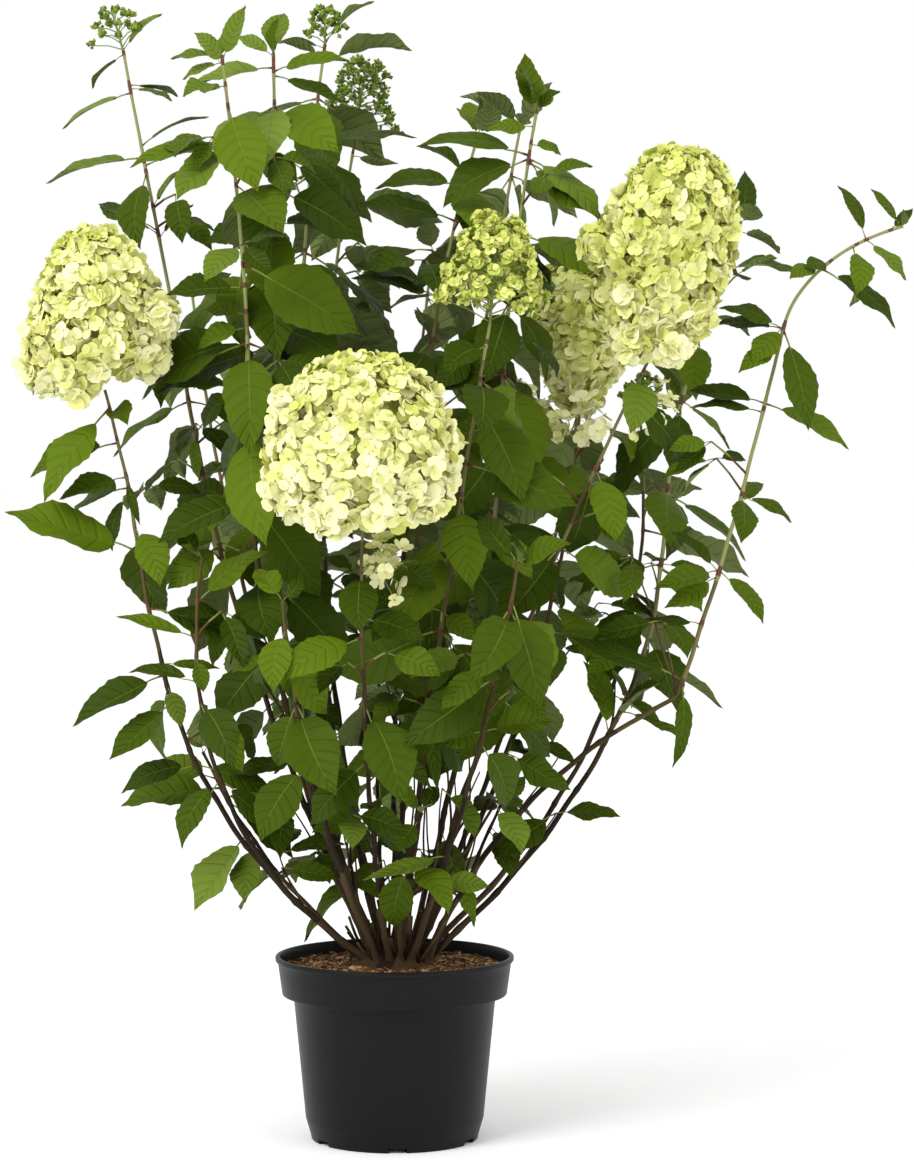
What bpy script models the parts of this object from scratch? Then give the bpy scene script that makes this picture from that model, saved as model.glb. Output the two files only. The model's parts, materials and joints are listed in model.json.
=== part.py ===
"""A panicle hydrangea in a round nursery pot, in metres, with the pot's axis at the origin."""

import math
import random

import bmesh
import bpy
import numpy as np
from mathutils.bvhtree import BVHTree

# Pot
ROUND_STEPS = 26
POT_TOP = 0.200
LIP_RADIUS = 0.1300
COLLAR_TOP_RADIUS = 0.1272
COLLAR_FOOT_RADIUS = 0.1226
COLLAR_FOOT = 0.1580
BODY_TOP_RADIUS = 0.1103
BODY_FOOT_RADIUS = 0.0970
BODY_FOOT = 0.0220
BASE_RADIUS = 0.0905
WALL = 0.0020
FLOOR_UNDER = 0.0050
FLOOR_TOP = 0.0075
RING_INNER_RADIUS = 0.0760
PAD_RADIUS = 0.0310
NOTCH_COUNT = 6
NOTCH_WIDTH = 0.0200
NOTCH_HEIGHT = 0.0062
NOTCH_TURN = 273.0

# Compost
GAP = 0.0003
COMPOST_TOP = 0.1895
COMPOST_EDGE = 0.1870
COMPOST_FLAT_RADIUS = 0.056

# Woody crown that the canes rise from
CROWN_FOOT = COMPOST_TOP + GAP
CROWN_TOP = 0.2000
STUB_COUNT = 4
STUB_RADIUS = 0.0050
STUB_HEIGHT = 0.016

# Canes
CANE_FOOT = CROWN_TOP + GAP
FOOT_SPACING = 0.0128
CANE_RADIUS = 0.0044
CANE_FLARE = 0.0057
TIP_RADIUS = 0.0019
CANE_SEGMENT = 0.080
STEM_SEGMENT = 0.100
FOOT_RISE = 0.004
CANE_SIDES = 5
STEM_SIDES = 4

# Leaves
LEAF_LENGTH = 0.112
LEAF_HALF_WIDTH = 0.26
FACE_UP = 0.70
FACE_OUT = 0.30
FACE_FORE = 0.55
FACING_DEPTH = 0.14
STALK_SHARE = 0.15
STALK_HALF = 0.0013
KEEL = 0.0016
FOLD = 0.10
PAIR_SPACING = 0.083
NODE_SPACING = 0.035
TURN_APART = 0.9
SHORT_LEAF = 0.113
LONG_LEAF = 0.131
LEAF_CLEARANCE = 0.0011

# Flower heads
FLORET_RADIUS = 0.0175
FLORET_DEPTH = 0.022
BUD_RADIUS = 0.0085
GOLDEN_TURN = math.radians(137.5)

# Each shoot: where its cane bends and ends, the height its leaves begin at, the turn of its first pair in
# degrees, and the size its leaves grow to beside the others.
SHOOTS = {
    "far_left": dict(
        bends=[(-0.220, -0.06, 0.434), (-0.260, -0.07, 0.580), (-0.284, -0.075, 0.722)],
        tip=(-0.306, -0.08, 0.815), leafy=0.38, turn=10, size=0.95,
    ),
    "upper_left": dict(
        bends=[(-0.178, 0.06, 0.584), (-0.261, 0.085, 0.984)],
        tip=(-0.301, 0.10, 1.190), leafy=0.52, turn=80, size=0.90,
    ),
    "inner_left": dict(
        bends=[(-0.145, -0.08, 0.634), (-0.155, -0.10, 0.910)],
        tip=(-0.178, -0.12, 1.165), leafy=0.50, turn=20, size=1.05,
    ),
    "tall_left": dict(
        bends=[(-0.124, -0.01, 0.588), (-0.125, -0.03, 0.914)],
        tip=(-0.128, -0.04, 1.175), leafy=0.48, turn=70, size=1.05,
    ),
    "tall_middle": dict(
        bends=[(-0.094, 0.09, 0.627)], tip=(-0.079, 0.13, 1.200), leafy=0.50, turn=0, size=1.05,
    ),
    "lace_middle": dict(
        bends=[(-0.079, 0.16, 0.579)], tip=(-0.050, 0.22, 1.090), leafy=0.48, turn=50, size=1.05,
    ),
    "centre_front": dict(
        bends=[(-0.026, -0.17, 0.438)], tip=(-0.028, -0.26, 0.677), leafy=0.40, turn=10, size=0.9,
    ),
    "lace_right": dict(
        bends=[(0.050, -0.13, 0.553)], tip=(0.102, -0.17, 0.884), leafy=0.44, turn=60, size=1.05,
    ),
    "upper_middle": dict(
        bends=[(0.020, 0.05, 0.585), (0.046, 0.05, 0.900)],
        tip=(0.091, 0.07, 1.095), leafy=0.48, turn=0, size=1.05,
    ),
    "right_bloom": dict(
        bends=[(0.162, -0.09, 0.613)], tip=(0.277, -0.08, 0.858), leafy=0.45, turn=30, size=0.95,
    ),
    "upper_back": dict(
        bends=[(0.066, 0.13, 0.671)], tip=(0.140, 0.18, 1.115), leafy=0.52, turn=90, size=0.95,
    ),
    "upper_right": dict(
        bends=[(0.106, 0.00, 0.653), (0.124, 0.00, 0.900)],
        tip=(0.154, 0.00, 1.118), leafy=0.48, turn=40, size=0.95,
    ),
    "green_bloom": dict(
        bends=[(0.183, 0.10, 0.627)], tip=(0.206, 0.13, 0.800), leafy=0.47, turn=20, size=0.9,
    ),
    "inner_right": dict(
        bends=[(0.241, 0.14, 0.478)], tip=(0.275, 0.18, 0.790), leafy=0.42, turn=70, size=1.0,
    ),
    "slim_right": dict(
        bends=[(0.270, 0.07, 0.511), (0.318, 0.10, 0.806)],
        tip=(0.384, 0.12, 1.003), leafy=0.43, turn=10, size=0.92,
    ),
    "far_right": dict(
        bends=[(0.369, -0.04, 0.687), (0.405, -0.04, 0.827), (0.4285, -0.04, 0.909)],
        tip=(0.545, -0.04, 0.990), leafy=0.60, turn=0, size=0.75,
    ),
    "weak_left": dict(
        bends=[(-0.179, -0.10, 0.390)], tip=(-0.200, -0.12, 0.640), leafy=0.37, turn=40, size=0.8,
    ),
    "back_left": dict(
        bends=[(-0.150, 0.20, 0.500)], tip=(-0.240, 0.30, 0.930), leafy=0.43, turn=30, size=1.0,
    ),
    "back_middle": dict(
        bends=[(0.000, 0.24, 0.520)], tip=(0.040, 0.34, 0.980), leafy=0.45, turn=0, size=1.0,
    ),
    "back_right": dict(
        bends=[(0.150, 0.22, 0.520)], tip=(0.215, 0.30, 0.840), leafy=0.45, turn=60, size=1.0,
    ),
    "front_left": dict(
        bends=[(-0.085, -0.16, 0.420)], tip=(-0.110, -0.24, 0.600), leafy=0.40, turn=30, size=0.9,
    ),
    "front_right": dict(
        bends=[(0.085, -0.16, 0.420)], tip=(0.130, -0.25, 0.640), leafy=0.42, turn=70, size=0.95,
    ),
    "low_front": dict(
        bends=[(0.012, -0.09, 0.290)], tip=(0.030, -0.13, 0.370), leafy=None, turn=20, size=0.75,
    ),
    "low_right": dict(
        bends=[(0.080, 0.03, 0.280)], tip=(0.115, 0.04, 0.360), leafy=None, turn=50, size=0.65,
    ),
    "low_left": dict(
        bends=[(-0.130, 0.02, 0.290)], tip=(-0.210, 0.02, 0.420), leafy=None, turn=20, size=0.85,
    ),
    "low_back": dict(
        bends=[(-0.020, 0.13, 0.340)], tip=(-0.020, 0.22, 0.520), leafy=None, turn=60, size=0.85,
    ),
}

# The far right cane lies low and then turns up, so its two limbs meet at the bend.
# Both are cut square to the mitre's direction there.
BENT_CANE = dict(bend=(0.180, -0.03, 0.402), tip=(0.304, -0.04, 0.484), mitre=(0.600, -0.020, 0.800))
BENT_ENDS = dict(far_right_low=-1, far_right=0)
BEND_SHARE = 0.36

# Strong shoots bear leaves in threes towards the top.
WHORLED = (
    "inner_left", "tall_left", "tall_middle", "lace_middle",
    "upper_middle", "upper_back", "upper_right", "back_middle",
)

# Leaves that draw the crown's edge: the height they leave the stem at in metres, then how far the tip
# stands from there to the right, to the back and up, in millimetres.
EDGE_LEAVES = {
    "far_left": [
        (0.64, -142, -16, 44), (0.795, -67, -31, -100), (0.79, 24, -62, -15), (0.71, -83, 55, -26),
        (0.51, -97, -23, -54), (0.48, -65, -42, -57),
    ],
    "upper_left": [
        (1.07, -109, 5, -28), (1.14, -77, 2, -40), (1.15, 51, 42, -9), (0.99, -70, 46, 33),
        (1.06, 79, 35, 21),
    ],
    "inner_left": [
        (1.07, -55, -50, -60), (1.13, -42, -40, -14), (1.155, 25, -10, 59), (1.15, -30, -15, 34),
        (0.92, -82, -20, -8),
    ],
    "tall_left": [
        (1.12, -6, -75, -74), (0.99, -38, -75, -96), (1.165, 6, -25, 42), (0.88, 70, -80, -36),
        (0.99, 62, 40, -7),
    ],
    "tall_middle": [
        (1.08, 51, -40, -72), (1.19, 26, 0, 52), (1.18, 100, 20, 12), (1.185, -48, -10, 16),
        (0.83, 92, -30, 36),
    ],
    "centre_front": [(0.58, 65, -30, -22), (0.49, 37, -20, -103)],
    "lace_right": [(0.86, -43, -50, -31), (0.80, 48, -40, -105), (0.70, 12, -45, -95)],
    "upper_middle": [(0.92, -96, -30, 29)],
    "right_bloom": [(0.83, -15, -60, -63), (0.73, 20, -40, -78)],
    "upper_right": [(1.06, 83, -40, -67), (0.98, 107, -20, -52)],
    "slim_right": [
        (0.99, 51, 30, -24), (0.995, 8, 20, 65), (0.47, -15, -50, 40), (0.45, 40, -40, 54),
    ],
    "far_right": [
        (0.975, -31, 0, 58), (0.975, 40, -30, -45), (0.944, 78, -20, -65), (0.944, -38, -40, -13),
        (0.985, 26, 10, 24), (0.88, 25, -30, -110), (0.88, -71, 30, 6), (0.86, -34, -50, -28),
        (0.80, 91, 0, -50), (0.80, -82, 20, 14), (0.69, 31, 45, 22), (0.70, 53, -20, -28),
        (0.62, 46, -20, -57), (0.62, -73, -40, -18),
    ],
    "weak_left": [(0.59, 76, -20, 55)],
    "front_left": [(0.57, -10, -40, -64)],
    "front_right": [(0.60, 30, -25, -110), (0.46, -54, -40, -10), (0.46, 75, 10, 9)],
    "low_front": [(0.34, 25, -45, -56), (0.31, 58, -55, -72), (0.30, -75, -55, -65)],
    "low_right": [(0.335, 30, -35, -32)],
    "low_left": [
        (0.38, -111, 0, -20), (0.39, -81, 40, 7), (0.33, -58, -30, -82), (0.32, -22, -50, -61),
    ],
}

# Flower heads: "full" is a dense cone of florets, "open" shows its branchlets, "buds" is still green.
HEADS = {
    "far_left": dict(
        kind="full", length=0.175, radius=0.081, widest=0.37,
        lean=(-0.014, -0.005), dome=1.25, foot=0.62, florets=19,
    ),
    "centre_front": dict(
        kind="full", length=0.177, radius=0.101, widest=0.42,
        lean=(-0.002, -0.012), dome=1.9, foot=0.60, florets=21,
    ),
    "right_bloom": dict(
        kind="full", length=0.222, radius=0.075, widest=0.64,
        lean=(0.030, -0.010), dome=2.1, foot=0.42, florets=22,
    ),
    "green_bloom": dict(
        kind="full", length=0.115, radius=0.043, widest=0.45,
        lean=(-0.004, -0.010), dome=2.0, foot=0.40, florets=10,
    ),
    "back_right": dict(
        kind="full", length=0.150, radius=0.070, widest=0.38,
        lean=(0.010, 0.020), dome=1.6, foot=0.50, florets=12,
    ),
    "lace_right": dict(kind="open", length=0.105, radius=0.056, lean=(0.010, -0.010), florets=10),
    "lace_middle": dict(kind="open", length=0.100, radius=0.046, lean=(0.015, 0.000), florets=8),
    "upper_left": dict(kind="buds", length=0.045, radius=0.024, lean=(-0.012, 0.000), florets=5),
    "tall_middle": dict(kind="buds", length=0.035, radius=0.018, lean=(0.000, 0.000), florets=4),
    "inner_right": dict(kind="buds", length=0.040, radius=0.022, lean=(0.010, 0.000), florets=4),
}

# Ways a leaf gives way to its neighbours, tried in turn: degrees it turns and droops, and the share of
# its size that it keeps.
GIVING_WAY = (
    (0, 0, 1), (16, 0, 1), (-16, 0, 1), (0, 14, 1), (0, -14, 1), (30, 8, 0.9), (-30, 8, 0.9), (0, 0, 0.7),
)

# Ways to fuse, tried in turn: the solver, the width of seam that is closed, how odd faces are divided, and
# the angle under which neighbouring faces are made one.
FUSING = (
    ("EXACT", 1.5e-7, "BEAUTY", 0.002),
    ("EXACT", 1.5e-7, "EAR_CLIP", 0.002),
    ("EXACT", 1.5e-7, "BEAUTY", 0.0),
    ("EXACT", 1.5e-7, "EAR_CLIP", 0.0),
    ("MANIFOLD", 1.5e-7, "BEAUTY", 0.0),
)

UP = np.array([0.0, 0.0, 1.0])


# Small helpers


def unit(v):
    return v / max(np.linalg.norm(v), 1e-9)


def clear_scene():
    for old in list(bpy.data.objects):
        bpy.data.objects.remove(old, do_unlink=True)


def new_collection(name, hidden=False):
    made = bpy.data.collections.new(name)
    made.hide_render = hidden
    bpy.context.scene.collection.children.link(made)
    return made


def colour_of(code):
    values = [int(code[i : i + 2], 16) / 255 for i in (0, 2, 4)]
    return [v / 12.92 if v <= 0.04045 else ((v + 0.055) / 1.055) ** 2.4 for v in values] + [1.0]


def material(name, code, roughness):
    made = bpy.data.materials.new(name)
    made.use_nodes = True
    shader = made.node_tree.nodes["Principled BSDF"]
    shader.inputs["Base Color"].default_value = colour_of(code)
    shader.inputs["Roughness"].default_value = roughness
    made.diffuse_color = colour_of(code)
    return made


def mesh_object(name, points, faces, collection):
    mesh = bpy.data.meshes.new(name)
    mesh.from_pydata([tuple(p) for p in points], [], faces)
    mesh.update()
    made = bpy.data.objects.new(name, mesh)
    collection.objects.link(made)
    return made


def paint(obj, name, code, roughness):
    obj.data.materials.clear()
    obj.data.materials.append(material(name, code, roughness))


# Paths and tapering limbs


def smooth_path(points, count):
    """Points along a smooth line through the given ones, evenly spaced by chord length."""
    points = np.array(points, float)
    steps = np.diff(points, axis=0)
    chord = np.linalg.norm(steps, axis=1)
    along = np.concatenate([[0], np.cumsum(chord)])
    slope = steps / chord[:, None]
    if len(points) == 2:
        tangent = np.array([slope[0], slope[0]])
    else:
        before = chord[:-1, None]
        after = chord[1:, None]
        inner = (slope[:-1] * after + slope[1:] * before) / (before + after)
        tangent = np.concatenate([[2 * slope[0] - inner[0]], inner, [2 * slope[-1] - inner[-1]]])
    s = np.linspace(0, along[-1], count)
    i = np.clip(np.searchsorted(along, s, side="right") - 1, 0, len(points) - 2)
    length = chord[i][:, None]
    u = (s - along[i])[:, None] / length
    start = (2 * u**3 - 3 * u**2 + 1) * points[i] + (u**3 - 2 * u**2 + u) * length * tangent[i]
    end = (3 * u**2 - 2 * u**3) * points[i + 1] + (u**3 - u**2) * length * tangent[i + 1]
    return start + end


def at_height(line, height):
    """Index of the first point of a rising line that is this high."""
    above = np.nonzero(line[:, 2] >= height)[0]
    return int(above[0]) if len(above) else len(line) - 1


def thinned(line, first, last, spacing):
    """A few points of a finely divided line between two indexes, each with the line's direction there."""
    heading = np.gradient(line, axis=0)
    heading /= np.linalg.norm(heading, axis=1)[:, None]
    length = np.linalg.norm(np.diff(line[first : last + 1], axis=0), axis=1).sum()
    count = max(3, round(length / spacing) + 1)
    chosen = np.linspace(first, last, count).round().astype(int)
    return line[chosen], heading[chosen]


def footed(points, heading, radii, flare):
    """The same limb with a short upright foot, so that it ends in a flat cut on what it stands on."""
    upright = points[0] + FOOT_RISE * UP
    points = np.concatenate([[points[0], upright], points[1:]])
    heading = np.concatenate([[UP, unit(UP + heading[0])], heading[1:]])
    radii = np.concatenate([[flare, flare * 0.92], radii[1:]])
    return points, heading, radii


def limb(points, heading, radii, sides):
    """Points and faces of a tapering limb: a ring round each point, square to the line, with flat ends."""
    rings = []
    across = unit(np.cross(heading[0], [0.31, 0.95, 0.05]))
    turns = np.arange(sides) * 2 * math.pi / sides
    for centre, forward, radius in zip(points, heading, radii):
        across = unit(across - forward * across.dot(forward))
        other = np.cross(forward, across)
        rings.append(centre + radius * (np.cos(turns)[:, None] * across + np.sin(turns)[:, None] * other))
    return loft(rings)


def rod(points, radii, sides):
    """A straight tapering limb from one point to another."""
    forward = unit(points[1] - points[0])
    return limb(points, [forward, forward], radii, sides)


def loft(rings, tip=None):
    """Points and faces of a closed skin over rings of the same count, ending in a flat face or a point."""
    sides = len(rings[0])
    points = np.concatenate(rings)
    faces = [tuple(range(sides - 1, -1, -1))]
    for row in range(len(rings) - 1):
        for k in range(sides):
            a = row * sides + k
            b = row * sides + (k + 1) % sides
            faces.append((a, b, b + sides))
            faces.append((a, b + sides, a + sides))
    last = (len(rings) - 1) * sides
    if tip is None:
        faces.append(tuple(last + k for k in range(sides)))
    else:
        points = np.concatenate([points, [tip]])
        faces += [(last + k, last + (k + 1) % sides, len(points) - 1) for k in range(sides)]
    return points, faces


# Canes


def eased_feet(shoots):
    """Where each cane leaves the woody crown: towards its first bend, eased apart from its neighbours."""
    feet = []
    for shoot in shoots.values():
        bend = np.array(shoot["bends"][0])
        reach = np.linalg.norm(bend[:2])
        lean = reach / (bend[2] - CANE_FOOT)
        feet.append(bend[:2] / reach * (0.006 + 0.032 * min(1.0, lean / 0.85)))
    feet = np.array(feet)
    for _ in range(400):
        apart = feet[:, None] - feet[None]
        distance = np.linalg.norm(apart, axis=2)
        np.fill_diagonal(distance, 1.0)
        push = np.clip(FOOT_SPACING - distance, 0, None)[:, :, None] * apart / distance[:, :, None]
        feet = feet + 0.3 * push.sum(axis=1)
    return feet


def cane_lines():
    """The whole line of every shoot, from foot to tip, and the line of the low limb of the bent cane."""
    lines = {}
    rooted = {name: shoot for name, shoot in SHOOTS.items() if name != "far_right"}
    rooted["far_right"] = dict(bends=[BENT_CANE["bend"]])
    for (name, shoot), foot in zip(rooted.items(), eased_feet(rooted)):
        start = np.array([*foot, CANE_FOOT])
        if name == "far_right":
            lines["far_right_low"] = smooth_path([start, BENT_CANE["bend"], BENT_CANE["tip"]], 240)
            rise = np.array(BENT_CANE["tip"]) + GAP * unit(np.array(BENT_CANE["mitre"]))
            lines[name] = smooth_path([rise, *SHOOTS[name]["bends"], SHOOTS[name]["tip"]], 240)
        else:
            lines[name] = smooth_path([start, *shoot["bends"], shoot["tip"]], 240)
    return lines


def radius_along(share):
    """Thickness of a cane at a share of its whole length: it thins steadily from the foot to the tip."""
    return CANE_RADIUS + (TIP_RADIUS - CANE_RADIUS) * share**0.8


def make_cane(name, line, end, start_share, collection):
    """One bough, from its foot to a flat end just under its leafy shoot."""
    points, heading = thinned(line, 0, end, CANE_SEGMENT)
    end_share = start_share + (1 - start_share) * end / len(line)
    radii = radius_along(np.linspace(start_share, end_share, len(points)))
    if start_share == 0:
        points, heading, radii = footed(points, heading, radii, CANE_FLARE)
    if name in BENT_ENDS:
        heading[BENT_ENDS[name]] = unit(np.array(BENT_CANE["mitre"]))
    made = mesh_object("cane_" + name, *limb(points, heading, radii, CANE_SIDES), collection)
    paint(made, "bark " + name, "4A3A2C", 0.75)
    return made


# Leaves


def leaf_frame(root, tip, arch, roll):
    """The curved midrib of a leaf as a function of the share along it, and where its upper face looks."""
    chord = tip - root
    length = np.linalg.norm(chord)
    forward = chord / length
    abreast = unit(np.array([root[0], root[1], 0.0]) + 1e-6)
    fore = min(1.0, max(-1.0, (FACING_DEPTH - root[1]) / 0.08))
    light = FACE_UP * UP + FACE_OUT * abreast + np.array([0.0, -FACE_FORE * fore, 0.0])
    face = unit(light - forward * forward.dot(light))
    side = np.cross(forward, face)
    face = face * math.cos(roll) + side * math.sin(roll)
    peak = (root + tip) / 2 + face * arch * length

    def at(u):
        return (1 - u) ** 2 * root + 2 * u * (1 - u) * peak + u * u * tip

    def along(u):
        return unit(2 * (1 - u) * (peak - root) + 2 * u * (tip - peak))

    return at, along, face, length


def leaf(root, tip, arch, roll, width, margin=0.0):
    """Points and faces of one leaf on its stalk: a keeled blade with three-cornered sections."""
    at, along, face, length = leaf_frame(root, tip, arch, roll)
    half = width * length
    rows = [(0.0 if margin == 0 else 0.10, STALK_HALF), (0.45, half)]
    if length > SHORT_LEAF:
        rows.insert(1, (STALK_SHARE, STALK_HALF))
    if length > LONG_LEAF:
        rows.append((0.76, half * 0.70))
    rings = []
    for u, w in rows:
        centre = at(u)
        forward = along(u)
        normal = unit(face - forward * face.dot(forward))
        side = np.cross(forward, normal)
        w = w + margin
        rise = FOLD * w + margin
        keel = KEEL + margin
        left = centre - side * w + normal * rise
        right = centre + side * w + normal * rise
        rings.append(np.array([left, right, centre - normal * keel]))
    return loft(rings, at(1.0) + margin * along(1.0))


class Space:
    """What has been placed so far, so that nothing new touches it."""

    def __init__(self):
        self.pieces = []
        self.domes = []

    def add(self, owner, points, faces):
        tree = BVHTree.FromPolygons([tuple(p) for p in points], faces)
        self.pieces.append((owner, points.min(axis=0), points.max(axis=0), tree))

    def add_dome(self, base, top, head):
        self.domes.append((base, top, head))

    def in_dome(self, point):
        for base, top, head in self.domes:
            axis = top - base
            h = (point - base).dot(axis) / axis.dot(axis)
            off = np.linalg.norm(point - base - h * axis)
            swell = head_shape(min(max(h, 0.03), 0.97), head)
            if -0.08 < h < 1.06 and off < head["radius"] * swell + 0.004:
                return True
        return False

    def touches(self, points, faces, own_stem):
        low = points.min(axis=0)
        high = points.max(axis=0)
        tree = None
        for owner, a, b, other in self.pieces:
            if owner == own_stem or (low > b).any() or (high < a).any():
                continue
            if tree is None:
                tree = BVHTree.FromPolygons([tuple(p) for p in points], faces)
            if tree.overlap(other):
                return True
        return False

    def holds(self, root, tip, arch, roll, width, own_stem):
        """Whether a leaf is free of everything that has been placed, but for the stem it springs from."""
        points, faces = leaf(root, tip, arch, roll, width, LEAF_CLEARANCE)
        at = leaf_frame(root, tip, arch, roll)[0]
        if any(self.in_dome(at(u)) for u in (0.3, 0.65, 1.0)):
            return False
        return not self.touches(points, faces, own_stem)


def leaf_plan(name, line, first):
    """The leaves of one shoot, in pairs a quarter turn apart, as root, tip, arch, roll and width."""
    shoot = SHOOTS[name]
    rng = random.Random("leaves of " + name)
    plan = []
    taken = []
    for height, right, back, up in EDGE_LEAVES.get(name, []):
        root = line[max(at_height(line, height), first + 2)]
        tip = root + np.array([right, back, up]) / 1000
        plan.append((root, tip, 0.10, 0.0, LEAF_HALF_WIDTH * rng.uniform(0.92, 1.05)))
        taken.append((root, math.atan2(back, right)))
    length = np.linalg.norm(np.diff(line[first:], axis=0), axis=1).sum()
    pairs = max(2, round(length / PAIR_SPACING))
    leafy_top = name not in HEADS
    for k in range(pairs + 1 + leafy_top):
        share = min(1.0, (k + 0.35) / pairs)
        if k > pairs:
            share = 1.0
        place = first + 3 + int((len(line) - 4 - first) * share)
        root = line[min(place, len(line) - 2)]
        near_top = share > 0.93
        if near_top and not leafy_top:
            continue
        turn = math.radians(shoot["turn"] + 90 * k + rng.uniform(-16, 16))
        whorl = 3 if name in WHORLED and 0.42 < share < 0.97 else 2
        for way in (turn + 2 * math.pi * n / whorl for n in range(whorl)):
            grown = LEAF_LENGTH * shoot["size"] * (0.86 + 0.28 * math.sin(math.pi * min(share, 0.9)))
            if near_top:
                grown *= 0.62 if k == pairs else 0.42
            span = grown * rng.uniform(0.86, 1.12)
            pitch = math.radians(rng.uniform(-52, -2) if not near_top else rng.uniform(15, 55))
            arch = rng.uniform(0.08, 0.16)
            roll = math.radians(rng.uniform(-14, 14))
            width = LEAF_HALF_WIDTH * rng.uniform(0.88, 1.08)
            near = [t for r, t in taken if np.linalg.norm(r - root) < NODE_SPACING]
            if any(abs(math.remainder(way - t, 2 * math.pi)) < TURN_APART for t in near):
                continue
            level = math.cos(pitch)
            out = np.array([math.cos(way) * level, math.sin(way) * level, math.sin(pitch)])
            plan.append((root, root + out * span, arch, roll, width))
    return plan


def settle(plan, space, name):
    """Places each leaf as planned, or turned or drooped a little; one that still touches is skipped."""
    kept = []
    for root, tip, arch, roll, width in plan:
        reach = tip - root
        for turn, droop, scale in GIVING_WAY:
            c = math.cos(math.radians(turn))
            s = math.sin(math.radians(turn))
            moved = np.array([reach[0] * c - reach[1] * s, reach[0] * s + reach[1] * c, reach[2]])
            moved[2] -= np.linalg.norm(reach[:2]) * math.tan(math.radians(droop))
            moved = unit(moved) * np.linalg.norm(reach) * scale
            if space.holds(root, root + moved, arch, roll, width, "stem of " + name):
                points, faces = leaf(root, root + moved, arch, roll, width)
                space.add(name, points, faces)
                kept.append((points, faces))
                break
    return kept


# Flower heads


def head_shape(h, head):
    """Radius of a panicle at a share of its height, beside its widest: quick to swell, then domed."""
    widest = head["widest"]
    if h < widest:
        return head["foot"] + (1 - head["foot"]) * math.sin(math.pi / 2 * h / widest)
    return math.sqrt(max(0.0, 1 - ((h - widest) / (1 - widest)) ** head["dome"]))


def head_axes(name, line):
    head = HEADS[name]
    base = line[-1]
    lean_x, lean_y = head["lean"]
    rise = math.sqrt(head["length"] ** 2 - lean_x**2 - lean_y**2)
    top = base + np.array([lean_x, lean_y, rise])
    forward = unit(top - base)
    across = unit(np.cross(forward, [0.0, 1.0, 0.1]))
    return base, top, forward, across, np.cross(forward, across)


def blossom(centre, outward, radius, spin, depth):
    """One four-petalled floret, as a flat four-pointed star sunk into what carries it."""
    across = unit(np.cross(outward, [0.3, 0.2, 0.9]))
    other = np.cross(outward, across)
    turns = spin + np.arange(4) * math.pi / 2
    ring = centre + radius * (np.cos(turns)[:, None] * across + np.sin(turns)[:, None] * other)
    points = np.concatenate([ring, [centre + 0.0035 * outward, centre - depth * outward]])
    faces = []
    for k in range(4):
        faces.append((k, (k + 1) % 4, 4))
        faces.append(((k + 1) % 4, k, 5))
    return points, faces


def full_head(name, line):
    """A dense panicle: a smaller core with florets standing out of it."""
    head = HEADS[name]
    rng = random.Random("head of " + name)
    base, top, forward, across, other = head_axes(name, line)
    rings = []
    segments = 9
    core = head["radius"] - 0.010
    for h in (0.0, 0.12, 0.34, 0.58, 0.78, 0.93):
        turns = np.arange(segments) * 2 * math.pi / segments
        bumps = np.array([rng.uniform(0.93, 1.05) for _ in range(segments)])
        radius = core * head_shape(h, head) * bumps
        spoke = np.cos(turns)[:, None] * across + np.sin(turns)[:, None] * other
        rings.append(base + (h - 0.05) * (top - base) + radius[:, None] * spoke)
    pieces = [loft(rings, top - 0.004 * forward)]
    for k in range(head["florets"]):
        h = 0.03 + 0.92 * ((k + 0.5) / head["florets"]) ** 0.92
        steps = (-0.03, 0.0, 0.03)
        below, swell, above = (head_shape(max(h + step, 0.0), head) for step in steps)
        slope = (above - below) / 0.06
        turn = k * GOLDEN_TURN + rng.uniform(-0.2, 0.2)
        spoke = math.cos(turn) * across + math.sin(turn) * other
        outward = unit(spoke - slope * head["radius"] / head["length"] * forward)
        centre = base + (h - 0.04) * (top - base) + spoke * core * swell * 0.97 + outward * 0.007
        tilt = np.array([rng.uniform(-0.3, 0.3) for _ in range(3)])
        radius = FLORET_RADIUS * rng.uniform(0.85, 1.12)
        pieces.append(blossom(centre, unit(outward + tilt), radius, rng.uniform(0, 1.5), FLORET_DEPTH))
    return pieces


def open_head(name, line):
    """A loose panicle: a stalk with spreading branchlets, each widening to a knot of buds or florets."""
    head = HEADS[name]
    rng = random.Random("head of " + name)
    base, top, forward, across, other = head_axes(name, line)
    pieces = [rod([base - 0.006 * forward, top - 0.006 * forward], [0.0018, 0.0012], 4)]
    knot = BUD_RADIUS * (1.5 if head["kind"] == "open" else 1.0)
    for k in range(head["florets"]):
        share = (k + 0.5) / head["florets"]
        turn = k * GOLDEN_TURN
        spoke = math.cos(turn) * across + math.sin(turn) * other
        root = base + (0.05 + 0.80 * share) * (top - base)
        reach = head["radius"] * (1 - 0.72 * share) * rng.uniform(0.82, 1.05)
        end = root + spoke * reach + forward * (0.010 + 0.20 * reach)
        size = knot * rng.uniform(0.85, 1.2)
        pieces.append(blossom(end, unit(end - root), size, turn, np.linalg.norm(end - root)))
    pieces.append(blossom(top - 0.004 * forward, forward, knot, 0.4, knot))
    return pieces


# Fusing and finishing


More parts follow.
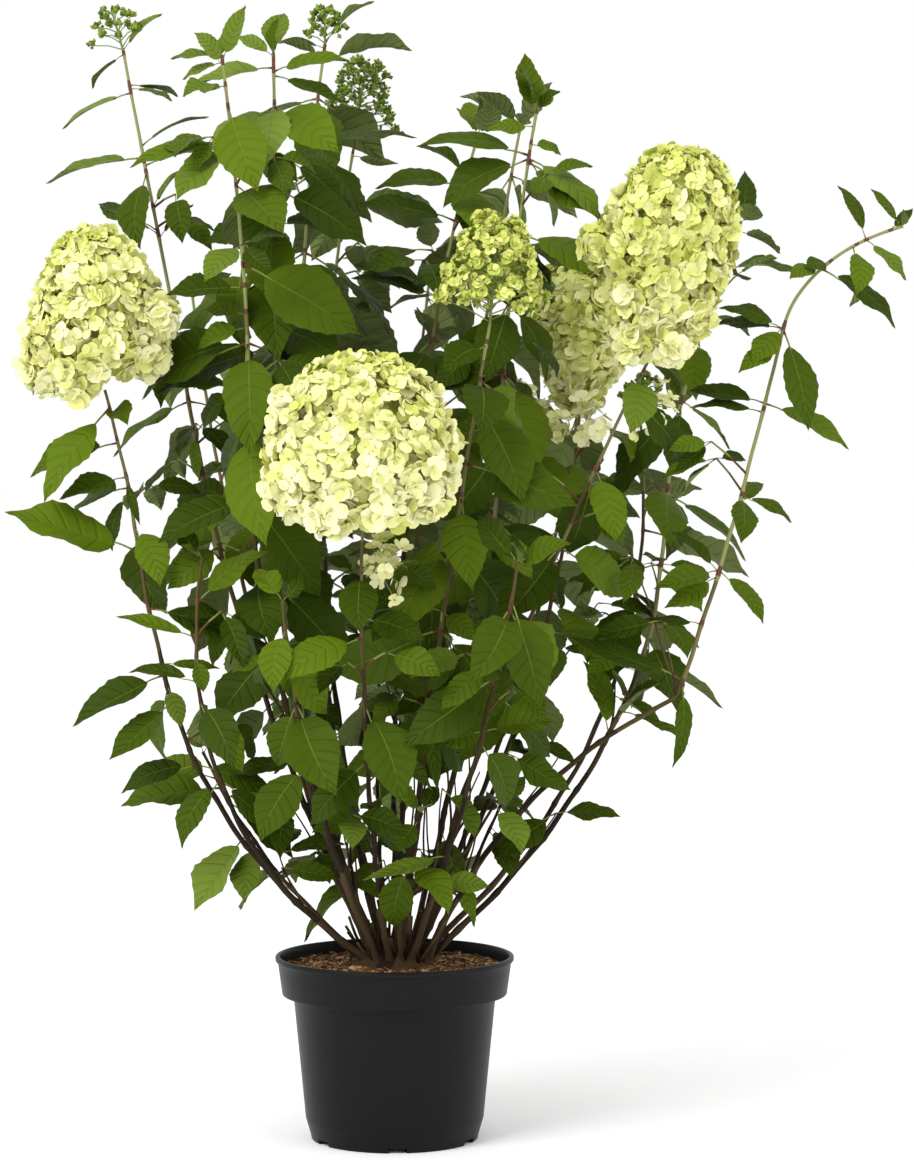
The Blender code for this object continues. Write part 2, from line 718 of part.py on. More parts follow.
def union_of(target, pieces):
    """The mesh of a stem with the pieces joined on by one union, or None if no solver closes it."""
    box = new_collection("pieces of " + target.name)
    for k, (points, faces) in enumerate(pieces):
        mesh_object(f"piece_{k}", points, faces, box)
    found = None
    for solver, seam, corners, flat in FUSING:
        union = target.modifiers.new("fused", "BOOLEAN")
        union.operation = "UNION"
        union.operand_type = "COLLECTION"
        union.collection = box
        union.solver = solver
        graph = bpy.context.evaluated_depsgraph_get()
        whole = bpy.data.meshes.new_from_object(target.evaluated_get(graph))
        target.modifiers.remove(union)
        if one_skin(whole, seam, corners, flat):
            found = whole
            break
        bpy.data.meshes.remove(whole)
    for piece in list(box.objects):
        bpy.data.objects.remove(piece, do_unlink=True)
    bpy.data.collections.remove(box)
    return found


def fuse(target, pieces):
    """Joins pieces onto a stem. One that keeps the skin from closing is found by halving, and left off."""
    whole = union_of(target, pieces)
    while whole is None and pieces:
        good = 0
        bad = len(pieces)
        while bad - good > 1:
            middle = (good + bad) // 2
            if union_of(target, pieces[:middle]) is None:
                bad = middle
            else:
                good = middle
        pieces = pieces[: bad - 1] + pieces[bad:]
        print(target.name, "leaves off piece", bad - 1)
        whole = union_of(target, pieces)
    old = target.data
    target.data = whole
    bpy.data.meshes.remove(old)


def one_skin(mesh, seam, corners, flat):
    """Drops loose scraps and fills sealed hollows, and tells whether the skin that is left is closed."""
    bm = bmesh.new()
    bm.from_mesh(mesh)
    if flat:
        bmesh.ops.dissolve_limit(bm, angle_limit=flat, verts=bm.verts, edges=bm.edges)
    bmesh.ops.triangulate(bm, faces=bm.faces, ngon_method=corners)
    bmesh.ops.remove_doubles(bm, verts=bm.verts, dist=seam)
    left = set(bm.verts)
    skins = []
    while left:
        seed = left.pop()
        skin = {seed}
        edge = [seed]
        while edge:
            for link in edge.pop().link_edges:
                for vert in link.verts:
                    if vert in left:
                        left.discard(vert)
                        skin.add(vert)
                        edge.append(vert)
        skins.append(skin)
    skins.sort(key=len)
    for skin in skins[:-1]:
        bmesh.ops.delete(bm, geom=list(skin), context="VERTS")
    closed = all(len(edge.link_faces) == 2 for edge in bm.edges)
    bm.to_mesh(mesh)
    bm.free()
    return closed


def shoot_stem(line, first, grounded):
    """The upper stem of a shoot, just clear of the cane that carries it, or standing on the woody crown."""
    points, heading = thinned(line, first, len(line) - 1, STEM_SEGMENT)
    if grounded:
        radii = np.linspace(CANE_RADIUS * 0.7, TIP_RADIUS, len(points))
        return limb(*footed(points, heading, radii, CANE_RADIUS), STEM_SIDES)
    points = points.copy()
    points[0] += GAP * heading[0]
    radii = np.linspace(radius_along(first / len(line)), TIP_RADIUS, len(points))
    return limb(points, heading, radii, STEM_SIDES)


# The pot and what fills it


def turned(name, profile, collection):
    """A solid of revolution from a profile of radius and height, top to bottom outside and then back up."""
    mesh = bpy.data.meshes.new(name)
    pairs = [(k, (k + 1) % len(profile)) for k in range(len(profile))]
    edges = [(a, b) for a, b in pairs if profile[a][0] + profile[b][0] > 0]
    mesh.from_pydata([(r, 0.0, z) for r, z in profile], edges, [])
    made = bpy.data.objects.new(name, mesh)
    collection.objects.link(made)
    screw = made.modifiers.new("turned", "SCREW")
    screw.axis = "Z"
    screw.angle = 2 * math.pi
    screw.steps = ROUND_STEPS
    screw.render_steps = ROUND_STEPS
    screw.use_merge_vertices = True
    screw.merge_threshold = 0.0001
    screw.use_smooth_shade = False
    return made


def pot_profile():
    inner_top = COLLAR_TOP_RADIUS - WALL
    inner_collar = COLLAR_FOOT_RADIUS - WALL
    inner_body = BODY_TOP_RADIUS - WALL
    inner_foot = BODY_FOOT_RADIUS - WALL
    outside = [
        (inner_top, POT_TOP),
        (LIP_RADIUS - 0.0012, POT_TOP),
        (LIP_RADIUS, POT_TOP - 0.0012),
        (LIP_RADIUS, POT_TOP - 0.0055),
        (COLLAR_TOP_RADIUS, POT_TOP - 0.0070),
        (COLLAR_FOOT_RADIUS, COLLAR_FOOT + 0.0014),
        (COLLAR_FOOT_RADIUS - 0.0010, COLLAR_FOOT),
        (BODY_TOP_RADIUS, COLLAR_FOOT - 0.0012),
        (BODY_FOOT_RADIUS, BODY_FOOT),
        (BASE_RADIUS + 0.0015, 0.0060),
        (BASE_RADIUS, 0.0),
        (RING_INNER_RADIUS, 0.0),
        (RING_INNER_RADIUS - 0.0015, FLOOR_UNDER),
        (PAD_RADIUS + 0.0015, FLOOR_UNDER),
        (PAD_RADIUS, 0.0),
        (0.0, 0.0),
    ]
    inside = [
        (0.0, FLOOR_TOP),
        (BASE_RADIUS - WALL, FLOOR_TOP),
        (inner_foot, BODY_FOOT),
        (inner_body, COLLAR_FOOT + 0.0010),
        (inner_collar, COLLAR_FOOT + 0.0028),
        (inner_top, POT_TOP - 0.0070),
    ]
    return outside, inside


def make_pot(collection, cutters):
    outside, inside = pot_profile()
    pot = turned("pot", outside + inside, collection)
    radius = (BASE_RADIUS + RING_INNER_RADIUS) / 2
    for k in range(NOTCH_COUNT):
        turn = math.radians(NOTCH_TURN + 360 / NOTCH_COUNT * k)
        bpy.ops.mesh.primitive_cube_add(size=1)
        notch = bpy.context.active_object
        notch.name = f"notch_{k}"
        notch.scale = (0.030, NOTCH_WIDTH, 2 * NOTCH_HEIGHT)
        notch.rotation_euler = (0, 0, turn)
        notch.location = (radius * math.cos(turn), radius * math.sin(turn), 0.0)
        for owner in list(notch.users_collection):
            owner.objects.unlink(notch)
        cutters.objects.link(notch)
        notch.hide_render = True
        notch.display_type = "WIRE"
    cut = pot.modifiers.new("drainage notches", "BOOLEAN")
    cut.operation = "DIFFERENCE"
    cut.operand_type = "COLLECTION"
    cut.collection = cutters
    cut.solver = "EXACT"
    paint(pot, "black plastic", "242427", 0.42)
    return pot


def make_compost(collection):
    outside, inside = pot_profile()
    top, collar, body, foot, floor = (inside[k] for k in (5, 4, 3, 2, 1))
    lift = 0.0005
    edge_radius = collar[0] + (top[0] - collar[0]) * (COMPOST_EDGE - collar[1]) / (top[1] - collar[1])
    profile = [
        (0.0, COMPOST_TOP),
        (COMPOST_FLAT_RADIUS, COMPOST_TOP),
        (0.100, (COMPOST_TOP + COMPOST_EDGE) / 2),
        (edge_radius - GAP, COMPOST_EDGE),
        (collar[0] - GAP, collar[1] + lift),
        (body[0] - GAP, body[1] + lift),
        (foot[0] - GAP, foot[1] + lift),
        (floor[0] - GAP, floor[1] + GAP),
        (0.0, FLOOR_TOP + GAP),
    ]
    compost = turned("compost", profile, collection)
    paint(compost, "bark compost", "5E4129", 0.95)
    return compost


def make_crown(lines, collection):
    """The short woody crown: a flat-cut plate of old wood with a few pruned stubs between the canes."""
    rng = random.Random("crown")
    feet = [line[0] for name, line in lines.items() if name != "far_right"]
    sides = 18
    turns = np.arange(sides) * 2 * math.pi / sides
    reach = []
    for turn in turns:
        spoke = np.array([math.cos(turn), math.sin(turn)])
        furthest = max(float(foot[:2].dot(spoke)) for foot in feet)
        reach.append(min(max(furthest + 0.006, 0.030), 0.052) + rng.uniform(-0.001, 0.001))
    reach = np.array(reach)
    rings = []
    for height, grow in ((CROWN_FOOT, 1.0), (CROWN_FOOT + 0.006, 1.03), (CROWN_TOP, 0.97)):
        spokes = np.stack([np.cos(turns), np.sin(turns)], axis=1) * (reach * grow)[:, None]
        rings.append(np.column_stack([spokes, np.full(sides, height)]))
    points, faces = loft(rings)
    crown = mesh_object("woody_crown", points, faces, collection)
    stubs = []
    near = np.concatenate([line[:60] for line in lines.values()])
    for k in range(90):
        if len(stubs) == STUB_COUNT:
            break
        turn = k * GOLDEN_TURN
        radius = rng.uniform(0.006, 0.040)
        foot = np.array([radius * math.cos(turn), radius * math.sin(turn), CROWN_TOP - 0.004])
        head = foot + np.array([0.10 * foot[0], 0.10 * foot[1], STUB_HEIGHT + rng.uniform(-0.003, 0.004)])
        spine = foot + np.linspace(0, 1, 9)[:, None] * (head - foot)
        gap = np.linalg.norm(near[:, None] - spine[None], axis=2).min()
        if gap < STUB_RADIUS + CANE_FLARE + 0.0008:
            continue
        if any(np.linalg.norm(foot - other) < 0.016 for other, _ in stubs):
            continue
        stubs.append((foot, head))
    pieces = [rod([foot, head], [STUB_RADIUS, STUB_RADIUS * 0.85], 7) for foot, head in stubs]
    if pieces:
        fuse(crown, pieces)
    paint(crown, "old wood", "3F2E22", 0.9)
    return crown


def main():
    clear_scene()
    shrub = new_collection("hydrangea_shrub")
    cutters = new_collection("cutters", hidden=True)
    make_pot(shrub, cutters)
    make_compost(shrub)
    lines = cane_lines()
    make_crown(lines, shrub)
    space = Space()
    space.add("pot", *rod([0.001 * UP, (POT_TOP + 0.002) * UP], [LIP_RADIUS + 0.002] * 2, ROUND_STEPS))
    starts = {}
    stems = {}
    for name, line in lines.items():
        whole, heading = thinned(line, 0, len(line) - 1, STEM_SEGMENT)
        space.add("stem of " + name, *limb(whole, heading, [CANE_RADIUS + 0.0006] * len(whole), CANE_SIDES))
        if name == "far_right_low":
            make_cane(name, line, len(line) - 1, 0, shrub)
            continue
        leafy = SHOOTS[name]["leafy"]
        starts[name] = at_height(line, leafy) if leafy else 0
        if leafy:
            make_cane(name, line, starts[name], BEND_SHARE if name == "far_right" else 0, shrub)
        stems[name] = shoot_stem(line, starts[name], not leafy)
    heads = {}
    for name, head in HEADS.items():
        build = full_head if head["kind"] == "full" else open_head
        heads[name] = build(name, lines[name])
        for points, faces in heads[name]:
            space.add(name, points, faces)
        if head["kind"] == "full":
            base, top = head_axes(name, lines[name])[:2]
            space.add_dome(base, top, head)
    for name in sorted(starts, key=lambda name: name not in EDGE_LEAVES):
        leaves = settle(leaf_plan(name, lines[name], starts[name]), space, name)
        shoot = mesh_object("shoot_" + name, *stems[name], shrub)
        fuse(shoot, heads.get(name, []) + leaves)
        paint(shoot, "foliage " + name, "8FA552" if name in HEADS else "4C7A34", 0.6)
        print(name, len(leaves), "leaves", len(shoot.data.polygons), "triangles")


main()
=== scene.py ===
import json
import math
import random

import bpy
import numpy as np
from mathutils.bvhtree import BVHTree
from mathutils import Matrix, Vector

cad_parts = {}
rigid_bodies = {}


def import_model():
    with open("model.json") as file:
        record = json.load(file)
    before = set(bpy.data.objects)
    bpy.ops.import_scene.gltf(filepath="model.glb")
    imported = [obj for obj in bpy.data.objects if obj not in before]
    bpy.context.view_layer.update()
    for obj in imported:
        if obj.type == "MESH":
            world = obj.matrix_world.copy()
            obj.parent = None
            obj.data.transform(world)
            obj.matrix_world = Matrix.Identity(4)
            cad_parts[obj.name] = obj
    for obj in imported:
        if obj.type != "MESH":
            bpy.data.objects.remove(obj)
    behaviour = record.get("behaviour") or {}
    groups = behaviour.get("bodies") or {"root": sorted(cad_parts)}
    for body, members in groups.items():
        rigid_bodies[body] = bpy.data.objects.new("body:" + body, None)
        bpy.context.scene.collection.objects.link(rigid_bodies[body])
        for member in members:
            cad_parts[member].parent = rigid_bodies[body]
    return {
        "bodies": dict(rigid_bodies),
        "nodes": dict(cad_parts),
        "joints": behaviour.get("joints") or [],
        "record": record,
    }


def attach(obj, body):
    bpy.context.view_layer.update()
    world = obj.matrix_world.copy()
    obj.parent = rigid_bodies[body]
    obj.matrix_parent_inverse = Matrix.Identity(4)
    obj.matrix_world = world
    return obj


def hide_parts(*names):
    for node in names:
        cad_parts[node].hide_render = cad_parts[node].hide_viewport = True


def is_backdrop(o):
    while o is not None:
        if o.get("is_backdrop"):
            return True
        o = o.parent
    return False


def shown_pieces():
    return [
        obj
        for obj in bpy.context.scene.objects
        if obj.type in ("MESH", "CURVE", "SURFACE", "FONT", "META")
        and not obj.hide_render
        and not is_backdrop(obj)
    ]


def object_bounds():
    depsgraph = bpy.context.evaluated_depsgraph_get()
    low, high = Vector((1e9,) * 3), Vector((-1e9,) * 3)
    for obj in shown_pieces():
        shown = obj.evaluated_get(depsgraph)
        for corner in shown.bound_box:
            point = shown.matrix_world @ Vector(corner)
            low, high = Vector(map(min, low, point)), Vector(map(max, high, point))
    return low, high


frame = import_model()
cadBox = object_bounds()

print("frame loaded:", len(frame["nodes"]), "nodes")

up = np.array([0.0, 0.0, 1.0])
goldenTurn = math.radians(137.5)

# The studio: a pale floor, a white sky for even light, one broad soft lamp high on the left and a weak one
# on the right. The camera stands four metres off with a long lens, as in the photograph.
studio = dict(
    floorColour="#FFFFFF", floorRadius=30.0, skyStrength=1.0,
    keyPlace=(-2.6, -3.0, 3.6), keySize=2.4, keyPower=150.0,
    fillPlace=(3.2, -2.2, 2.0), fillSize=2.6, fillPower=30.0, lampAim=(0.07, 0.0, 0.65),
    eyePlace=(0.068, -4.0, 0.800), eyeDown=2.73, eyeLens=114.5,
)


# sRGB hex to linear light: a channel is divided by 12.92 when dark, and otherwise raised to the power 2.4.
def linear(code):
    channels = [int(code[k:k + 2], 16) / 255 for k in (1, 3, 5)]
    return [c / 12.92 if c <= 0.04045 else ((c + 0.055) / 1.055) ** 2.4 for c in channels] + [1.0]


# Adds one node to a tree, with its settings and input values, and links other sockets into it.
def addNode(tree, kind, settings=None, inputs=None, links=None):
    node = tree.nodes.new(kind)
    for field, value in (settings or {}).items():
        setattr(node, field, value)
    for socket, value in (inputs or {}).items():
        node.inputs[socket].default_value = value
    for socket, source in (links or {}).items():
        tree.links.new(source, node.inputs[socket])
    return node


# A material with one plain base colour, and the gloss of its surface.
def plainFinish(name, code, roughness, specular=0.5):
    made = bpy.data.materials.new(name)
    made.use_nodes = True
    shader = made.node_tree.nodes["Principled BSDF"]
    shader.inputs["Base Color"].default_value = linear(code)
    shader.inputs["Roughness"].default_value = roughness
    shader.inputs["Specular IOR Level"].default_value = specular
    made.diffuse_color = linear(code)
    return made


# Adds fine relief from noise in object space, and lets the same noise vary the roughness a little.
def grain(made, size, depth, spread, detail=3.0):
    tree = made.node_tree
    shader = tree.nodes["Principled BSDF"]
    place = addNode(tree, "ShaderNodeTexCoord")
    noise = addNode(tree, "ShaderNodeTexNoise", inputs={"Scale": 1 / size, "Detail": detail},
                    links={"Vector": place.outputs["Object"]})
    rough = shader.inputs["Roughness"].default_value
    least, most = max(0.02, rough - spread), min(1.0, rough + spread)
    sheen = addNode(tree, "ShaderNodeMapRange", inputs={"To Min": least, "To Max": most},
                    links={"Value": noise.outputs["Fac"]})
    tree.links.new(sheen.outputs["Result"], shader.inputs["Roughness"])
    bump = addNode(tree, "ShaderNodeBump", inputs={"Strength": 1.0, "Distance": depth},
                   links={"Height": noise.outputs["Fac"]})
    tree.links.new(bump.outputs["Normal"], shader.inputs["Normal"])
    return made


# One grained finish for each tone, numbered from one.
def toneFinishes(name, codes, roughness, specular, size, depth, spread):
    return [grain(plainFinish(f"{name}{k + 1}", code, roughness, specular), size, depth, spread)
            for k, code in enumerate(codes)]


# Puts arrays of points and faces into one mesh object at the origin. Each group is an array of faces of the
# same number of corners, and the slot of each face.
def putMesh(name, points, groups, finishes, rim=None, flat=False):
    corners = np.concatenate([faces.ravel() for faces, _ in groups]).astype(np.int32)
    counts = np.concatenate([np.full(len(faces), faces.shape[1]) for faces, _ in groups])
    starts = np.concatenate([[0], np.cumsum(counts)[:-1]]).astype(np.int32)
    slots = np.concatenate([slot for _, slot in groups]).astype(np.int32)
    mesh = bpy.data.meshes.new(name)
    mesh.vertices.add(len(points))
    mesh.vertices.foreach_set("co", np.ascontiguousarray(points, np.float32).ravel())
    mesh.loops.add(len(corners))
    mesh.loops.foreach_set("vertex_index", corners)
    mesh.polygons.add(len(counts))
    mesh.polygons.foreach_set("loop_start", starts)
    mesh.polygons.foreach_set("material_index", slots)
    mesh.polygons.foreach_set("use_smooth", np.full(len(counts), not flat))
    mesh.update(calc_edges=True)
    for finish in finishes:
        mesh.materials.append(finish)
    if rim is not None:
        ends = np.zeros(len(mesh.edges) * 2, np.int32)
        mesh.edges.foreach_get("vertices", ends)
        ends = ends.reshape(-1, 2)
        sharp = mesh.attributes.new("sharp_edge", "BOOLEAN", "EDGE")
        sharp.data.foreach_set("value", rim[ends[:, 0]] & rim[ends[:, 1]])
    made = bpy.data.objects.new(name, mesh)
    bpy.context.scene.collection.objects.link(made)
    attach(made, "root")
    return made


# Gives each face corner the place on the blade of its vertex, for patterns that follow the surface.
def putUv(made, values):
    layer = made.data.uv_layers.new(name="blade")
    corner = np.zeros(len(made.data.loops), np.int32)
    made.data.loops.foreach_get("vertex_index", corner)
    layer.data.foreach_set("uv", np.ascontiguousarray(values[corner], np.float32).ravel())


# Four-cornered faces round a stack of rings, and the ring that each starts from.
def bandFaces(rows, sides):
    r, k = np.meshgrid(np.arange(rows - 1), np.arange(sides), indexing="ij")
    p, q = (r * sides + k).ravel(), (r * sides + (k + 1) % sides).ravel()
    return np.stack([p, q, q + sides, p + sides], axis=1), r.ravel()


# Three-cornered faces from one point to each of two rows of points.
def fan(point, first, second):
    return np.stack([np.full(len(first), point), first, second], axis=1)


# Repeats a pattern of faces for many copies whose points follow each other in one array.
def repeated(faces, copies, stride):
    shift = (np.arange(copies) * stride)[:, None, None]
    return (faces[None] + shift).reshape(-1, faces.shape[1])


# Smooth made-up relief: 1.8 times the mean of a few sine waves that run in seeded directions, so it stays
# mostly between -1 and 1.
def ripple(points, size, seed, waves=7):
    rng = np.random.default_rng(seed)
    heading = rng.normal(size=(waves, 3))
    heading /= np.linalg.norm(heading, axis=1)[:, None]
    pace = 2 * np.pi / size * rng.uniform(0.6, 1.7, waves)
    phase = rng.uniform(0, 2 * np.pi, waves)
    return np.sin((points @ heading.T) * pace + phase).mean(axis=-1) * 1.8


# A vector divided by its length, and the same for every vector of an array.
def unit(v):
    return v / max(np.linalg.norm(v), 1e-9)


def units(v):
    return v / np.maximum(np.linalg.norm(v, axis=-1, keepdims=True), 1e-9)


# The length of a line of points: the sum of its steps.
def lengthOf(line):
    return np.linalg.norm(np.diff(line, axis=0), axis=1).sum()


# Evenly spaced turns about a circle: k * 2 pi / count.
def evenTurns(count):
    return np.arange(count) * 2 * np.pi / count


# The circle in the plane of two directions: cos(turn) * a + sin(turn) * b for each turn.
def around(turns, a, b):
    return np.cos(turns)[:, None] * a + np.sin(turns)[:, None] * b


# The direction at a turn about the axis and a pitch over level: (cos * cos, sin * cos, sin).
def pointing(turn, pitch):
    level = math.cos(pitch)
    return np.array([math.cos(turn) * level, math.sin(turn) * level, math.sin(pitch)])


# How the shrub grows. All lengths are in metres, and the rest are shares, counts and turns.
growth = dict(
    caneFoot=0.2003, footSpacing=0.0128, footNear=0.006, footSpread=0.032, footLean=0.85, easeRounds=400,
    easeStep=0.3, caneRadius=0.0044, tipRadius=0.0019, taper=0.8, linePoints=240, gap=0.0003,
    leafLength=0.112, leafHalfWidth=0.26, faceUp=0.70, faceOut=0.30, faceFore=0.55, facingDepth=0.14,
    facingBand=0.08, stalkShare=0.15, stalkHalf=0.0013, keel=0.0016, fold=0.10, pairSpacing=0.083,
    nodeSpacing=0.035, turnApart=0.9, shortLeaf=0.113, longLeaf=0.131, clearance=0.0011,
    clearFrom=0.10, widestAt=0.45, shoulderAt=0.76, shoulder=0.70,
    floretRadius=0.0175, floretDepth=0.022, starPeak=0.0035, budRadius=0.0085,
)

# Each shoot: the places where its cane bends, its tip, the height its leaves begin at, the turn of its first
# pair in degrees, and the size its leaves grow to beside the others.
shoots = {}
for name, *bends, tip, leafyFrom, turn, size in (
    ("far_left", (-0.220, -0.06, 0.434), (-0.260, -0.07, 0.580), (-0.284, -0.075, 0.722),
     (-0.306, -0.08, 0.815), 0.38, 10, 0.95),
    ("upper_left", (-0.178, 0.06, 0.584), (-0.261, 0.085, 0.984), (-0.301, 0.10, 1.190), 0.52, 80, 0.90),
    ("inner_left", (-0.145, -0.08, 0.634), (-0.155, -0.10, 0.910), (-0.178, -0.12, 1.165), 0.50, 20, 1.05),
    ("tall_left", (-0.124, -0.01, 0.588), (-0.125, -0.03, 0.914), (-0.128, -0.04, 1.175), 0.48, 70, 1.05),
    ("tall_middle", (-0.094, 0.09, 0.627), (-0.079, 0.13, 1.200), 0.50, 0, 1.05),
    ("lace_middle", (-0.079, 0.16, 0.579), (-0.050, 0.22, 1.090), 0.48, 50, 1.05),
    ("centre_front", (-0.026, -0.17, 0.438), (-0.028, -0.26, 0.677), 0.40, 10, 0.9),
    ("lace_right", (0.050, -0.13, 0.553), (0.102, -0.17, 0.884), 0.44, 60, 1.05),
    ("upper_middle", (0.020, 0.05, 0.585), (0.046, 0.05, 0.900), (0.091, 0.07, 1.095), 0.48, 0, 1.05),
    ("right_bloom", (0.162, -0.09, 0.613), (0.277, -0.08, 0.858), 0.45, 30, 0.95),
    ("upper_back", (0.066, 0.13, 0.671), (0.140, 0.18, 1.115), 0.52, 90, 0.95),
    ("upper_right", (0.106, 0.00, 0.653), (0.124, 0.00, 0.900), (0.154, 0.00, 1.118), 0.48, 40, 0.95),
    ("green_bloom", (0.183, 0.10, 0.627), (0.206, 0.13, 0.800), 0.47, 20, 0.9),
    ("inner_right", (0.241, 0.14, 0.478), (0.275, 0.18, 0.790), 0.42, 70, 1.0),
    ("slim_right", (0.270, 0.07, 0.511), (0.318, 0.10, 0.806), (0.384, 0.12, 1.003), 0.43, 10, 0.92),
    ("far_right", (0.369, -0.04, 0.687), (0.405, -0.04, 0.827), (0.4285, -0.04, 0.909),
     (0.545, -0.04, 0.990), 0.60, 0, 0.75),
    ("weak_left", (-0.179, -0.10, 0.390), (-0.200, -0.12, 0.640), 0.37, 40, 0.8),
    ("back_left", (-0.150, 0.20, 0.500), (-0.240, 0.30, 0.930), 0.43, 30, 1.0),
    ("back_middle", (0.000, 0.24, 0.520), (0.040, 0.34, 0.980), 0.45, 0, 1.0),
    ("back_right", (0.150, 0.22, 0.520), (0.215, 0.30, 0.840), 0.45, 60, 1.0),
    ("front_left", (-0.085, -0.16, 0.420), (-0.110, -0.24, 0.600), 0.40, 30, 0.9),
    ("front_right", (0.085, -0.16, 0.420), (0.130, -0.25, 0.640), 0.42, 70, 0.95),
    ("low_front", (0.012, -0.09, 0.290), (0.030, -0.13, 0.370), None, 20, 0.75),
    ("low_right", (0.080, 0.03, 0.280), (0.115, 0.04, 0.360), None, 50, 0.65),
    ("low_left", (-0.130, 0.02, 0.290), (-0.210, 0.02, 0.420), None, 20, 0.85),
    ("low_back", (-0.020, 0.13, 0.340), (-0.020, 0.22, 0.520), None, 60, 0.85),
):
    shoots[name] = dict(bends=bends, tip=tip, leafy=leafyFrom, turn=turn, size=size)

# The far right cane lies low and then turns up; its two limbs meet at this bend.
bentCane = dict(bend=(0.180, -0.03, 0.402), tip=(0.304, -0.04, 0.484), mitre=(0.600, -0.020, 0.800))

whorled = (
    "inner_left", "tall_left", "tall_middle", "lace_middle",
    "upper_middle", "upper_back", "upper_right", "back_middle",
)

# Leaves that draw the crown's edge: the height they leave the stem at, then how far the tip stands from
# there to the right, to the back and up, in millimetres. Those of the low front shoot stand in leavesSeen.
edgeLeaves = {
    "far_left": [(0.64, -142, -16, 44), (0.795, -67, -31, -100), (0.79, 24, -62, -15), (0.71, -83, 55, -26),
        (0.51, -97, -23, -54), (0.48, -65, -42, -57)],
    "upper_left": [(1.07, -109, 5, -28), (1.14, -77, 2, -40), (1.15, 51, 42, -9), (0.99, -70, 46, 33),
        (1.06, 79, 35, 21)],
    "inner_left": [(1.07, -55, -50, -60), (1.13, -42, -40, -14), (1.155, 25, -10, 59), (1.15, -30, -15, 34),
        (0.92, -82, -20, -8)],
    "tall_left": [(1.12, -6, -75, -74), (0.99, -38, -75, -96), (1.165, 6, -25, 42), (0.88, 70, -80, -36),
        (0.99, 62, 40, -7)],
    "tall_middle": [(1.08, 51, -40, -72), (1.19, 26, 0, 52), (1.18, 100, 20, 12), (1.185, -48, -10, 16),
        (0.83, 92, -30, 36)],
    "centre_front": [(0.58, 65, -30, -22), (0.49, 37, -20, -103)],
    "lace_right": [(0.86, -43, -50, -31), (0.80, 48, -40, -105), (0.70, 12, -45, -95)],
    "upper_middle": [(0.92, -96, -30, 29)],
    "right_bloom": [(0.83, -15, -60, -63), (0.73, 20, -40, -78)],
    "upper_right": [(1.06, 83, -40, -67), (0.98, 107, -20, -52)],
    "slim_right": [(0.99, 51, 30, -24), (0.995, 8, 20, 65), (0.47, -15, -50, 40), (0.45, 40, -40, 54)],
    "far_right": [(0.975, -31, 0, 58), (0.975, 40, -30, -45), (0.944, 78, -20, -65), (0.944, -38, -40, -13),
        (0.985, 26, 10, 24), (0.88, 25, -30, -110), (0.88, -71, 30, 6), (0.86, -34, -50, -28),
        (0.80, 91, 0, -50), (0.80, -82, 20, 14), (0.69, 31, 45, 22), (0.70, 53, -20, -28),
        (0.62, 46, -20, -57), (0.62, -73, -40, -18)],
    "weak_left": [(0.59, 76, -20, 55)],
    "front_left": [(0.57, -10, -40, -64)],
    "front_right": [(0.60, 30, -25, -110), (0.46, -54, -40, -10), (0.46, 75, 10, 9)],
    "low_front": [],
    "low_right": [(0.335, 30, -35, -32)],
    "low_left": [(0.38, -111, 0, -20), (0.39, -81, 40, 7), (0.33, -58, -30, -82), (0.32, -22, -50, -61)],
}

# Flower heads: full is a dense cone of florets, open shows its branchlets, buds is still green. Length and
# radius, how far the top leans right and back, and how many florets; then, of a full one, the share of its
# height where it is widest, how square its dome is, and how wide its foot is beside its widest.
heads = {}
for name, kind, length, radius, lean, florets, *form in (
    ("far_left", "full", 0.175, 0.081, (-0.014, -0.005), 19, 0.37, 1.25, 0.62),
    ("centre_front", "full", 0.177, 0.101, (-0.002, -0.012), 21, 0.42, 1.9, 0.60),
    ("right_bloom", "full", 0.222, 0.075, (0.030, -0.010), 22, 0.64, 2.1, 0.42),
    ("green_bloom", "full", 0.115, 0.043, (-0.004, -0.010), 10, 0.45, 2.0, 0.40),
    ("back_right", "full", 0.150, 0.070, (0.010, 0.020), 12, 0.38, 1.6, 0.50),
    ("lace_right", "open", 0.105, 0.056, (0.010, -0.010), 10),
    ("lace_middle", "open", 0.100, 0.046, (0.015, 0.000), 8),
    ("upper_left", "buds", 0.045, 0.024, (-0.012, 0.000), 5),
    ("tall_middle", "buds", 0.035, 0.018, (0.000, 0.000), 4),
    ("inner_right", "buds", 0.040, 0.022, (0.010, 0.000), 4),
):
    heads[name] = dict(kind=kind, length=length, radius=radius, lean=lean, florets=florets,
                       **dict(zip(("widest", "dome", "foot"), form)))

# Ways a leaf gives way to its neighbours, tried in turn: degrees it turns and droops, and its size.
givingWay = (
    (0, 0, 1), (16, 0, 1), (-16, 0, 1), (0, 14, 1), (0, -14, 1), (30, 8, 0.9), (-30, 8, 0.9), (0, 0, 0.7),
)


